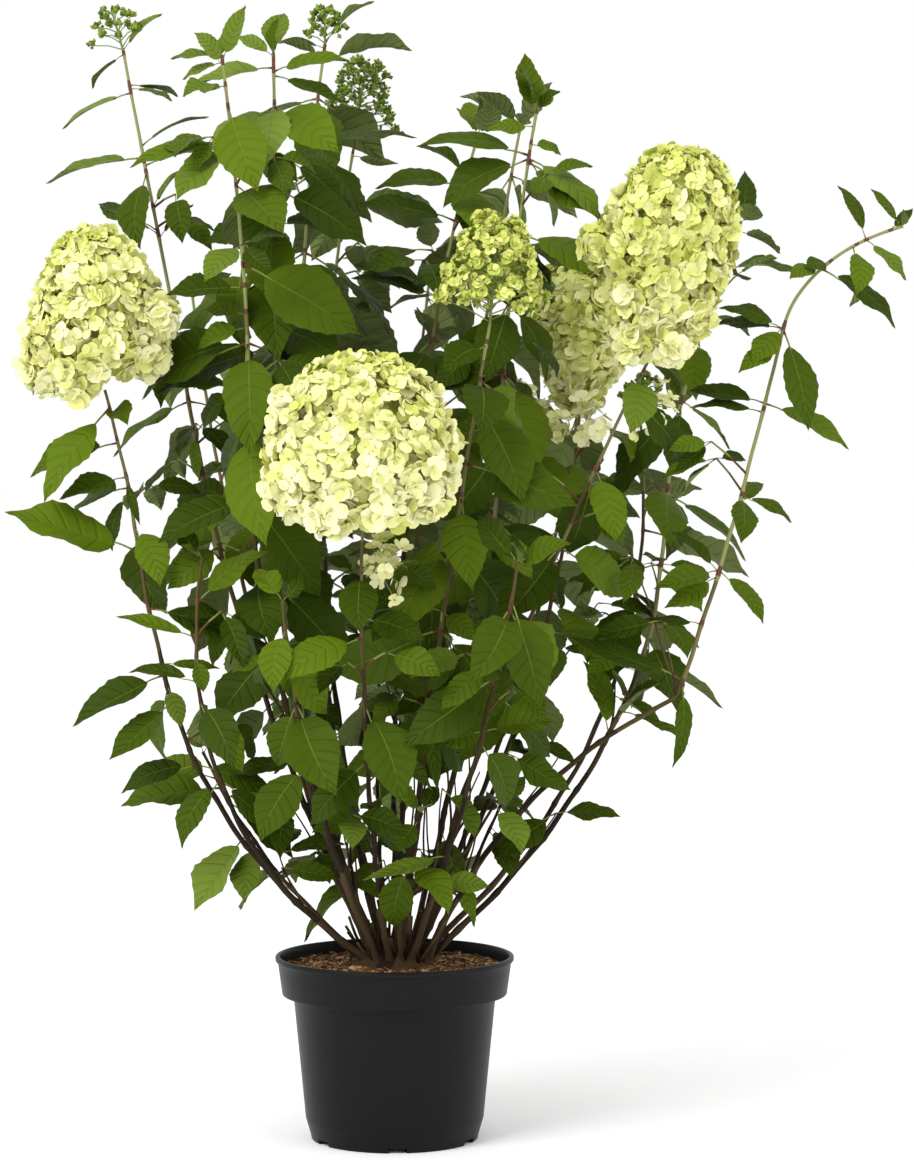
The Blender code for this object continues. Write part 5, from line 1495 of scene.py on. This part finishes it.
bed = heap(compostLook, bedHeight)
rng = np.random.default_rng(12)
points, groups = joinLimbs([(bed, np.zeros(len(bed), int))])
quads = groups[0][0]
score = 1.2 + 1.5 * ripple(points[quads].mean(axis=1), 0.012, 43) + rng.uniform(-0.8, 0.8, len(quads))
loam = toneFinishes("barkCompost", compostLook["tones"], 0.95, 0.2, 0.0012, 0.0010, 0.04)
groups[0] = (quads, np.clip(score.astype(int), 0, 3))
compost = putMesh("compost_bed", points, groups, loam)
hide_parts("compost")

# Chips are six-faced flakes, each laid on the bed at its own turn and a little warped.
n = compostLook["chips"]
spot = scattered(rng, n, 0.04, compostLook["chipEdge"])
centre = np.column_stack([spot, bedHeight(spot[:, 0], spot[:, 1]) + rng.uniform(-0.0004, 0.0014, n)])
way = rng.uniform(0, 2 * np.pi, n)
along = units(np.stack([np.cos(way), np.sin(way), rng.normal(0, 0.22, n)], axis=1))
across = units(np.cross(along, up + rng.normal(0, 0.25, (n, 3))))
high = np.cross(across, along)
half = np.stack([rng.uniform(least, most, n) for least, most in compostLook["chipSizes"]], axis=1)
square = [(-1, -1), (1, -1), (1, 1), (-1, 1)]
corner = np.array([(x, y, z) for z in (-1, 1) for x, y in square])
frames = np.stack([along, across, high], axis=1) * half[:, :, None]
chipPoints = centre[:, None] + np.einsum("kc,ncd->nkd", corner * 1.0, frames)
chipPoints += compostLook["chipWarp"] * half[:, None, :1] * rng.uniform(-1, 1, (n, 8, 3))
box = np.array([(0, 1, 2, 3), (4, 7, 6, 5), (0, 4, 5, 1), (1, 5, 6, 2), (2, 6, 7, 3), (3, 7, 4, 0)])

# Fibres are bent three-sided strands: s along the way and bend * (s^2 - 0.08) aside, times their span.
m = compostLook["fibres"]
spot = scattered(rng, m, 0.05, compostLook["fibreEdge"])
way = rng.uniform(0, 2 * np.pi, m)
span = rng.uniform(*compostLook["fibreSpan"], m)[:, None, None]
s = np.linspace(-0.5, 0.5, 5)[None, :, None]
bend = rng.normal(0, 0.5, m)[:, None, None]
ahead = np.stack([np.cos(way), np.sin(way)], axis=1)[:, None]
aside = np.stack([-np.sin(way), np.cos(way)], axis=1)[:, None]
flat = spot[:, None] + span * (s * ahead + bend * (s**2 - 0.08) * aside)
rise = bedHeight(flat[..., 0], flat[..., 1]) + 0.0007 + rng.uniform(0, 0.0022, (m, 1)) * (0.5 + s[..., 0])
strand = np.concatenate([flat, rise[..., None]], axis=-1)
thick = np.broadcast_to(rng.uniform(*compostLook["fibreThick"], m)[:, None], (m, 5))
strandPoints, strandFaces, ends, _ = manyTubes(strand, thick, 3)
stride = strandPoints.shape[1]
shift = n * 8
litter = putMesh("compost_fibres", np.concatenate([chipPoints.reshape(-1, 3), strandPoints.reshape(-1, 3)]), [
    (repeated(box, n, 8), np.repeat(rng.integers(0, 5, n), 6)),
    (repeated(strandFaces, m, stride) + shift, np.repeat(rng.integers(1, 5, m), len(strandFaces))),
    (repeated(ends, m, stride) + shift, np.repeat(rng.integers(1, 5, m), 2)),
], loam, flat=True)
print("compost laid")


# Flower heads. A sterile floret has four overlapping sepals; the heads open cream at the foot and stay lime
# at the tip. Florets stand on the head's own form, turned by the golden angle, in an outer and an inner
# layer; the inner layer is dealt greener, deeper tones as painted shade.
bloomLook = dict(
    tones=("#EBEABA", "#E5E5A2", "#DADC88", "#CAD06C", "#B4BE56"), eye="#C4CB68", core="#BBC35E", gloss=0.62,
    perArea=7800, size=0.0152, small=0.66, half=0.58, inner=0.62, lobes=0.075, jitter=0.46, depth=0.011,
    lowest=dict(centre_front=0.075, far_left=0.115), tint=0.17, rise=0.36, innerShadeTint=0.22, luck=0.16,
    toneSteps=4.4, cutLeft=dict(right_bloom=0.34), coreSides=28, coreRings=15, coreShare=0.73,
    areaShare=0.80, foot=-0.01, top=0.975, crowding=0.93, step=0.03, stray=0.25, sunk=0.0085,
    innerAt=(0.80, 0.93), proud=0.002, forward=0.10, droop=0.12, droopUnder=0.3, sizes=(0.80, 1.16),
    greener=dict(far_left=0.03, centre_front=-0.01, right_bloom=0.15, green_bloom=0.10, back_right=0.16),
)
budLook = dict(tones=("#778C2E", "#C3D068", "#4E651F"), stalk="#84934A", bud=0.0022, spokes=48, each=18,
               pedicel=(0.005, 0.012), grow=1.35, tightSpokes=17, tightEach=11, tightPedicel=0.55,
               branchThick=0.0007, pedicelThick=0.00035, stalkThick=0.0014)

# A floret's points: each sepal has a rim and a point over and under its middle, and the eye is a bead.
sepals, rimPoints = 4, 8
sepalPoints = rimPoints + 2
bead = np.array([(1, 0, 0), (0, 1, 0), (-1, 0, 0), (0, -1, 0), (0, 0, 1), (0, 0, -1)])
beadFaces = np.array([(0, 1, 4), (1, 2, 4), (2, 3, 4), (3, 0, 4), (1, 0, 5), (2, 1, 5), (3, 2, 5), (0, 3, 5)])
floretStride = sepals * sepalPoints + len(bead)

# A sepal beside its floret's size. Lengths, widths and dishes are between the two given; crinkles are at the
# foot and round the rim; every other sepal stands over its neighbours by the overlap.
sepalLook = dict(foot=0.05, slim=0.70, swell=0.34, middle=0.56, thick=0.035, lengths=(0.86, 1.10),
                 widths=(0.85, 1.14), crinkle=(0.01, 0.045), dish=(-0.15, 0.02), tilt=0.30, overlap=0.05,
                 stray=0.12, eye=0.10, eyeRise=0.12)


# Petal tissue: thin, matt and faintly grained, so it scatters light softly.
def petalSkin(name, code):
    return grain(plainFinish(name, code, bloomLook["gloss"], 0.2), 0.0021, 0.00025, 0.08)


# One frame for each direction: two directions across it and itself, as the rows of a matrix.
def framesFor(outward, spin):
    a = units(np.cross(outward, np.array([0.31, 0.22, 0.93])))
    b = np.cross(outward, a)
    c, s = np.cos(spin)[:, None], np.sin(spin)[:, None]
    return np.stack([a * c + b * s, b * c - a * s, outward], axis=1)


# Florets in their own frames. A sepal's rim is a = (1 - cos w) / 2 along and half * sin w *
# (slim + swell * a) across, lifted by its own tilt and crinkled; a fan to a point over and a point under it
# closes it.
def floretPoints(centre, outward, size, spin, seed, open_=(-0.05, 0.62)):
    n = len(centre)
    rng = np.random.default_rng(seed)
    w = evenTurns(rimPoints)
    a = 0.5 - 0.5 * np.cos(w)
    b = bloomLook["half"] * np.sin(w) * (sepalLook["slim"] + sepalLook["swell"] * a)
    along = np.concatenate([sepalLook["foot"] + (1 - sepalLook["foot"]) * a, [sepalLook["middle"]] * 2])
    across = np.concatenate([b, [0.0, 0.0]])
    high = np.concatenate([0 * a, [0.0, -sepalLook["thick"]]])
    along = along * rng.uniform(*sepalLook["lengths"], (n, sepals, 1))
    across = across * rng.uniform(*sepalLook["widths"], (n, sepals, 1))
    atFoot, atRim = sepalLook["crinkle"]
    crinkle = rng.uniform(-1, 1, (n, sepals, sepalPoints))
    crinkle = crinkle * np.concatenate([[atFoot], np.full(rimPoints - 1, atRim), [0, 0]])
    dish = rng.uniform(*sepalLook["dish"], (n, sepals, 1)) * np.concatenate([np.zeros(rimPoints), [1, 1]])
    h = high + crinkle + dish
    tilt = rng.uniform(*open_, (n, 1, 1)) + sepalLook["tilt"] * rng.uniform(-1, 1, (n, sepals, 1))
    p = along * np.cos(tilt) - h * np.sin(tilt)
    over = sepalLook["overlap"] * np.array([0, 1, 0, 1])[None, :, None]
    q = along * np.sin(tilt) + h * np.cos(tilt) + over
    turn = evenTurns(sepals)[None, :, None] + sepalLook["stray"] * rng.uniform(-1, 1, (n, sepals, 1))
    x, y = p * np.cos(turn) - across * np.sin(turn), p * np.sin(turn) + across * np.cos(turn)
    petals = np.stack([x, y, q], axis=-1).reshape(n, -1, 3)
    eyes = np.broadcast_to(sepalLook["eye"] * bead + sepalLook["eyeRise"] * up, (n, len(bead), 3))
    local = np.concatenate([petals, eyes], axis=1) * size[:, None, None]
    return centre[:, None] + np.einsum("nkc,ncd->nkd", local, framesFor(outward, spin))


# The faces of one floret: two fans to each sepal, and its eye.
def floretFaces():
    k, following = np.arange(rimPoints), (np.arange(rimPoints) + 1) % rimPoints
    sepal = np.concatenate([fan(rimPoints, following, k), fan(rimPoints + 1, k, following)])
    four = [sepal + sepalPoints * m for m in range(sepals)]
    return np.concatenate([*four, beadFaces + sepals * sepalPoints])


# A bud is a bead, stretched a little along its way.
def budPoints(centre, outward, size):
    local = bead * np.array([1, 1, 1, 1, 1.25, 1.1])[:, None]
    frame = framesFor(outward, np.zeros(len(centre)))
    return centre[:, None] + np.einsum("nkc,ncd->nkd", local[None] * size[:, None, None], frame)


# Side bunches that stand out of a panicle's form: right, back and up from its foot in mm, radius, number of
# florets and the share of the height whose tone they take.
bunches = dict(
    far_left=((-56, -16, 20, 26, 60, 0.10), (46, -18, 36, 21, 38, 0.14), (-24, -34, 8, 20, 30, 0.08),
              (62, -34, 76, 17, 30, 0.3)),
    centre_front=((-74, -20, 34, 21, 34, 0.05), (66, -40, 30, 20, 34, 0.05), (-30, -60, 16, 20, 30, 0.0),
                  (72, -24, 92, 18, 30, 0.2), (-70, -34, 112, 22, 34, 0.2)),
    right_bloom=((-58, -10, 108, 21, 40, 0.5), (-26, -24, 6, 16, 26, 0.1), (16, -28, 4, 15, 24, 0.1),
                 (44, -24, 34, 16, 24, 0.2), (60, -30, 150, 20, 32, 0.4)),
    green_bloom=((-14, -20, 26, 15, 18, 0.1),),
)


# A head's radius beside its widest at many shares of its height, none nearer the top than this.
def shapeAt(h, nearest, head):
    return np.array([headShape(v, head) for v in np.clip(h, 0.0, nearest)])


# The florets of a full head: spread up it by the golden angle, outer ones evenly and inner ones anyhow, on
# radius * form * lobes less a little luck. Gives their points and tones, the inner ones deeper as painted
# shade, and the rings of the head's core.
def fullHead(name, seed):
    head = heads[name]
    base, top, forward, across, other = headAxes(name, lines[name])
    area = 2 * np.pi * head["radius"] * head["length"] * bloomLook["areaShare"]
    outer = int(area * bloomLook["perArea"])
    n = int(outer * (1 + bloomLook["inner"]))
    rng = np.random.default_rng(seed)
    k = np.arange(n)
    layer = k >= outer
    share = np.where(layer, rng.uniform(0, 1, n), (k + 0.5) / outer)
    lowest, step = bloomLook["lowest"].get(name, bloomLook["foot"]), bloomLook["step"]
    h = lowest + (bloomLook["top"] - lowest) * share**bloomLook["crowding"]
    swell = shapeAt(h, 0.985, head)
    slope = (shapeAt(h + step, 0.99, head) - shapeAt(h - step, 0.99, head)) / (2 * step)
    slope = slope * head["radius"] / head["length"]
    spoke = around(k * goldenTurn + bloomLook["stray"] * rng.uniform(-1, 1, n), across, other)
    outward = units(spoke - slope[:, None] * forward)
    lobe = 1 + bloomLook["lobes"] * ripple(outward * 0.05 + h[:, None] * 0.08 * forward, 0.055, seed + 1)
    nearer = np.where(layer, rng.uniform(*bloomLook["innerAt"], n), 1.0)
    radius = (head["radius"] - bloomLook["sunk"]) * swell * lobe * nearer
    radius = radius + bloomLook["proud"] - bloomLook["depth"] * rng.uniform(0, 1, n)**1.5
    cut = bloomLook["cutLeft"].get(name, 0) * np.clip(-spoke[:, 0], 0, 1) * np.clip((h - 0.6) / 0.4, 0, 1)
    centre = base + (h[:, None] - 0.02) * (top - base) + (radius * (1 - cut))[:, None] * spoke
    aim = outward + bloomLook["jitter"] * rng.normal(size=(n, 3))
    low = (h < bloomLook["droopUnder"])[:, None]
    aim = units(aim + bloomLook["forward"] * forward - bloomLook["droop"] * up * low)
    for right, back, rise, reach, count, tint in bunches.get(name, ()):
        hub = base + np.array([right, back, rise]) / 1000
        apart = units(rng.normal(size=(count, 3)) + np.array([0, -0.35, 0]))
        centre = np.concatenate([centre, hub + apart * reach / 1000 * rng.uniform(0.72, 1.0, (count, 1))])
        aim = np.concatenate([aim, units(apart + 0.35 * rng.normal(size=(count, 3)))])
        h = np.concatenate([h, np.full(count, tint)])
        layer = np.concatenate([layer, np.zeros(count, bool)])
    n = len(centre)
    size = bloomLook["size"] * (1 - (1 - bloomLook["small"]) * h) * rng.uniform(*bloomLook["sizes"], n)
    points = floretPoints(centre, aim, size, rng.uniform(0, 6.3, n), seed + 2)
    score = bloomLook["tint"] + bloomLook["rise"] * h + bloomLook["greener"][name]
    # the inner layer's deeper tone is painted shade
    score = score + bloomLook["innerShadeTint"] * layer + rng.normal(0, bloomLook["luck"], n)
    luck = rng.uniform(-0.6, 0.6, (n, sepals))
    tone = np.clip((score * bloomLook["toneSteps"])[:, None] + luck, 0, len(bloomLook["tones"]) - 0.01)
    rings, foot = [], max(lowest, 0.0)
    ring = around(evenTurns(bloomLook["coreSides"]), across, other)
    uneven = (1 + 0.05 * ripple(ring * 0.05, 0.03, seed + 5))[:, None]
    for v in np.linspace(foot + 0.05, 0.94, bloomLook["coreRings"]):
        rim = head["radius"] * headShape(v, head) * min(bloomLook["coreShare"], 0.35 + 6 * (v - foot - 0.03))
        rings.append(base + (v - 0.02) * (top - base) + rim * uneven * ring)
    return points, tone.astype(int), np.array(rings)


petalFinishes = [petalSkin(f"sepal{k + 1}", code) for k, code in enumerate(bloomLook["tones"])]
petalFinishes += [plainFinish("floretEye", bloomLook["eye"], 0.5), petalSkin("innerBloom", bloomLook["core"])]


# Joins florets, and the cores that they stand round, into one piece. The sepals' rims stay sharp.
def joinFlorets(name, points, tone, cores=()):
    n = len(points)
    eyeSlot = len(bloomLook["tones"])
    eyes = np.full((n, len(beadFaces)), eyeSlot)
    slot = np.concatenate([np.repeat(tone, 2 * rimPoints, axis=1), eyes], axis=1)
    groups = [(repeated(floretFaces(), n, floretStride), slot.ravel())]
    allPoints = [points.reshape(-1, 3)]
    start = n * floretStride
    for core in cores:
        corePoints, coreGroups = joinLimbs([(core, np.full(len(core), eyeSlot + 1))])
        groups += [(part + start, slots) for part, slots in coreGroups]
        allPoints.append(corePoints)
        start += len(corePoints)
    rim = np.zeros(start, bool)
    petal = np.arange(floretStride)
    rim[:n * floretStride] = np.tile((petal < sepals * sepalPoints) & (petal % sepalPoints < rimPoints), n)
    return putMesh(name, np.concatenate(allPoints), groups, petalFinishes, rim=rim)


for seed, name in enumerate(flowering):
    points, tone, core = fullHead(name, 60 + 10 * seed)
    joinFlorets("bloom_" + name, points, tone, [core])
    print("bloom", name, len(points), "florets")


# Open heads: a stalk with spreading branchlets, each ending in a small umbel of buds, and on the further
# open ones of little florets. Buds and florets stand on fine pedicels.
def openHead(name, seed):
    head = heads[name]
    rng = np.random.default_rng(seed)
    base, top, forward, across, other = headAxes(name, lines[name])
    loose = head["kind"] == "open"
    k = np.arange(budLook["spokes"] if loose else budLook["tightSpokes"])
    share = (k + 0.5) / len(k)
    spoke = around(k * goldenTurn, across, other)
    root = base + (0.90 * share)[:, None] * (top - base)
    grown = head["radius"] * (1 if loose else budLook["grow"])
    reach = grown * (1 - 0.66 * share) * rng.uniform(0.62, 1.0, len(k))
    end = root + spoke * reach[:, None] + forward * (0.004 + 0.30 * reach)[:, None]
    each = budLook["each"] if loose else budLook["tightEach"]
    span = rng.uniform(*budLook["pedicel"], (len(k), each)) * (1.0 if loose else budLook["tightPedicel"])
    way = units(units(end - root)[:, None] * 0.8 + 0.6 * forward + rng.normal(0, 0.62, (len(k), each, 3)))
    tipAt = end[:, None] + way * span[..., None]
    branch = np.stack([root, (root + end) / 2 + 0.002 * up, end], axis=1)
    hub = np.broadcast_to(end[:, None], tipAt.shape)
    fine = np.stack([hub, (hub + tipAt) / 2 + 0.0008 * up, tipAt], axis=2)
    stalk = np.array([[base - 0.004 * forward, (base + top) / 2, top]])
    return dict(branch=branch, fine=fine.reshape(-1, 3, 3), stalk=stalk, tips=tipAt.reshape(-1, 3),
                way=way.reshape(-1, 3), open=loose)


budFinishes = toneFinishes("bud", budLook["tones"], 0.55, 0.12, 0.0015, 0.0001, 0.05)
budFinishes.append(plainFinish("pedicel", budLook["stalk"], 0.55, 0.35))
pedicelSlot = len(budLook["tones"])
for seed, name in enumerate([name for name, head in heads.items() if head["kind"] != "full"]):
    made = openHead(name, 300 + seed)
    rng = np.random.default_rng(400 + seed)
    parts, groups = joinTubes([
        (made["branch"], budLook["branchThick"], pedicelSlot, pedicelSlot),
        (made["fine"], budLook["pedicelThick"], pedicelSlot, pedicelSlot),
        (made["stalk"], budLook["stalkThick"], pedicelSlot, pedicelSlot),
    ])
    start = sum(len(part) for part in parts)
    n = len(made["tips"])
    size = budLook["bud"] * rng.uniform(0.75, 1.25, n) * (1.0 if made["open"] else 1.25)
    parts.append(budPoints(made["tips"], made["way"], size).reshape(-1, 3))
    # the further open head has pale buds among deep ones, the others green ones among deep ones
    common, rare = (1, 0) if name == "lace_right" else (0, 2)
    tone = np.where(rng.uniform(0, 1, n) < 0.62, common, rare)
    groups.append((repeated(beadFaces, n, len(bead)) + start, np.repeat(tone, len(beadFaces))))
    putMesh("buds_" + name, np.concatenate(parts), groups, budFinishes)
    if name == "lace_right":
        chosen = rng.uniform(0, 1, n) < 0.75
        count = chosen.sum()
        size = rng.uniform(0.0048, 0.0082, count)
        spin = rng.uniform(0, 6.3, count)
        points = floretPoints(made["tips"][chosen], made["way"][chosen], size, spin, 500, (0.1, 0.9))
        tone = rng.integers(2, 5, (count, sepals))
        joinFlorets("florets_lace_right", points, tone)
print("open heads and buds built")


# Loose sprigs of pale florets that hang under the big heads: the middle, how wide, how many florets and of
# what size, and the shoot that bears them.
sprigs = (
    ("under_centre", (-0.006, -0.235, 0.641), 0.021, 18, 0.0115, "centre_front"),
    ("under_right", (0.281, -0.060, 0.798), 0.018, 18, 0.0090, "right_bloom"),
    ("below_green", (0.215, 0.045, 0.786), 0.020, 15, 0.0125, "green_bloom"),
    ("left_of_green", (0.171, 0.050, 0.777), 0.018, 12, 0.0115, "green_bloom"),
    ("far_from_green", (0.132, 0.055, 0.811), 0.010, 8, 0.0115, "green_bloom"),
)
for seed, (name, centre, wide, n, size, bearer) in enumerate(sprigs):
    rng = np.random.default_rng(700 + seed)
    centre = np.array(centre)
    away = rng.normal(size=(n, 3)) * wide * np.array([0.6, 0.4, 0.75])
    line = lines[bearer]
    level = np.abs(line[:, 2] - centre[2] + 0.02)
    root = line[np.argmin(np.linalg.norm(line - centre, axis=1) + 0.4 * level)]
    aim = units(away + 0.02 * up + np.array([0, -0.012, 0]))
    size = size * rng.uniform(0.8, 1.2, n)
    points = floretPoints(centre + away, aim, size, rng.uniform(0, 6.3, n), 710 + seed)
    hub = centre - 0.35 * (centre - root)
    ends = centre + away
    branch = np.stack([np.broadcast_to(hub, ends.shape), hub + 0.6 * (ends - hub), ends], axis=1)
    lead = np.array([[root, (root + hub) / 2 + 0.004 * up, hub]])
    parts, groups = joinTubes([(branch, 0.0004, 0, 0), (lead, 0.0010, 0, 0)])
    joinFlorets("sprig_" + name, points, rng.integers(0, 2, (n, sepals)))
    stalks = putMesh("sprig_stalks_" + name, np.concatenate(parts), groups, [budFinishes[pedicelSlot]])
print("sprigs built")


# The floor is white paper, matt and flat, a hair's breadth under the pot.
turn = evenTurns(96)
disc = studio["floorRadius"] * np.column_stack([np.cos(turn), np.sin(turn)])
disc = np.column_stack([disc, np.full(96, -0.0003)])
mesh = bpy.data.meshes.new("floor")
mesh.from_pydata([tuple(p) for p in disc], [], [tuple(range(96))])
floor = bpy.data.objects.new("floor", mesh)
bpy.context.scene.collection.objects.link(floor)
floor.data.materials.append(plainFinish("paperFloor", studio["floorColour"], 0.9, 0.1))
floor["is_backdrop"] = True

world = bpy.data.worlds.new("studioSky")
world.use_nodes = True
world.node_tree.nodes["Background"].inputs["Color"].default_value = (1, 1, 1, 1)
world.node_tree.nodes["Background"].inputs["Strength"].default_value = studio["skyStrength"]
bpy.context.scene.world = world
bpy.context.scene.view_settings.view_transform = "Standard"


# A square soft lamp aimed at the middle of the crown.
def lamp(name, place, size, power):
    data = bpy.data.lights.new(name, "AREA")
    data.size = size
    data.energy = power
    made = bpy.data.objects.new(name, data)
    bpy.context.scene.collection.objects.link(made)
    away = np.array(place) - np.array(studio["lampAim"])
    made.location = place
    turn = math.atan2(away[1], away[0]) + math.pi / 2
    made.rotation_euler = (math.atan2(math.hypot(away[0], away[1]), away[2]), 0, turn)
    return made


lamp("keyLamp", studio["keyPlace"], studio["keySize"], studio["keyPower"])
lamp("fillLamp", studio["fillPlace"], studio["fillSize"], studio["fillPower"])

eye = bpy.data.cameras.new("photoEye")
eye.lens = studio["eyeLens"]
eye.clip_start, eye.clip_end = 0.1, 100.0
camera = bpy.data.objects.new("photoEye", eye)
bpy.context.scene.collection.objects.link(camera)
camera.location = studio["eyePlace"]
camera.rotation_euler = (math.radians(90 - studio["eyeDown"]), 0, 0)
bpy.context.scene.camera = camera

total = 0
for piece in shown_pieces():
    corners = np.zeros(len(piece.data.polygons), np.int32)
    piece.data.polygons.foreach_get("loop_total", corners)
    total += int(corners.sum()) - 2 * len(corners)
print("triangles:", total)
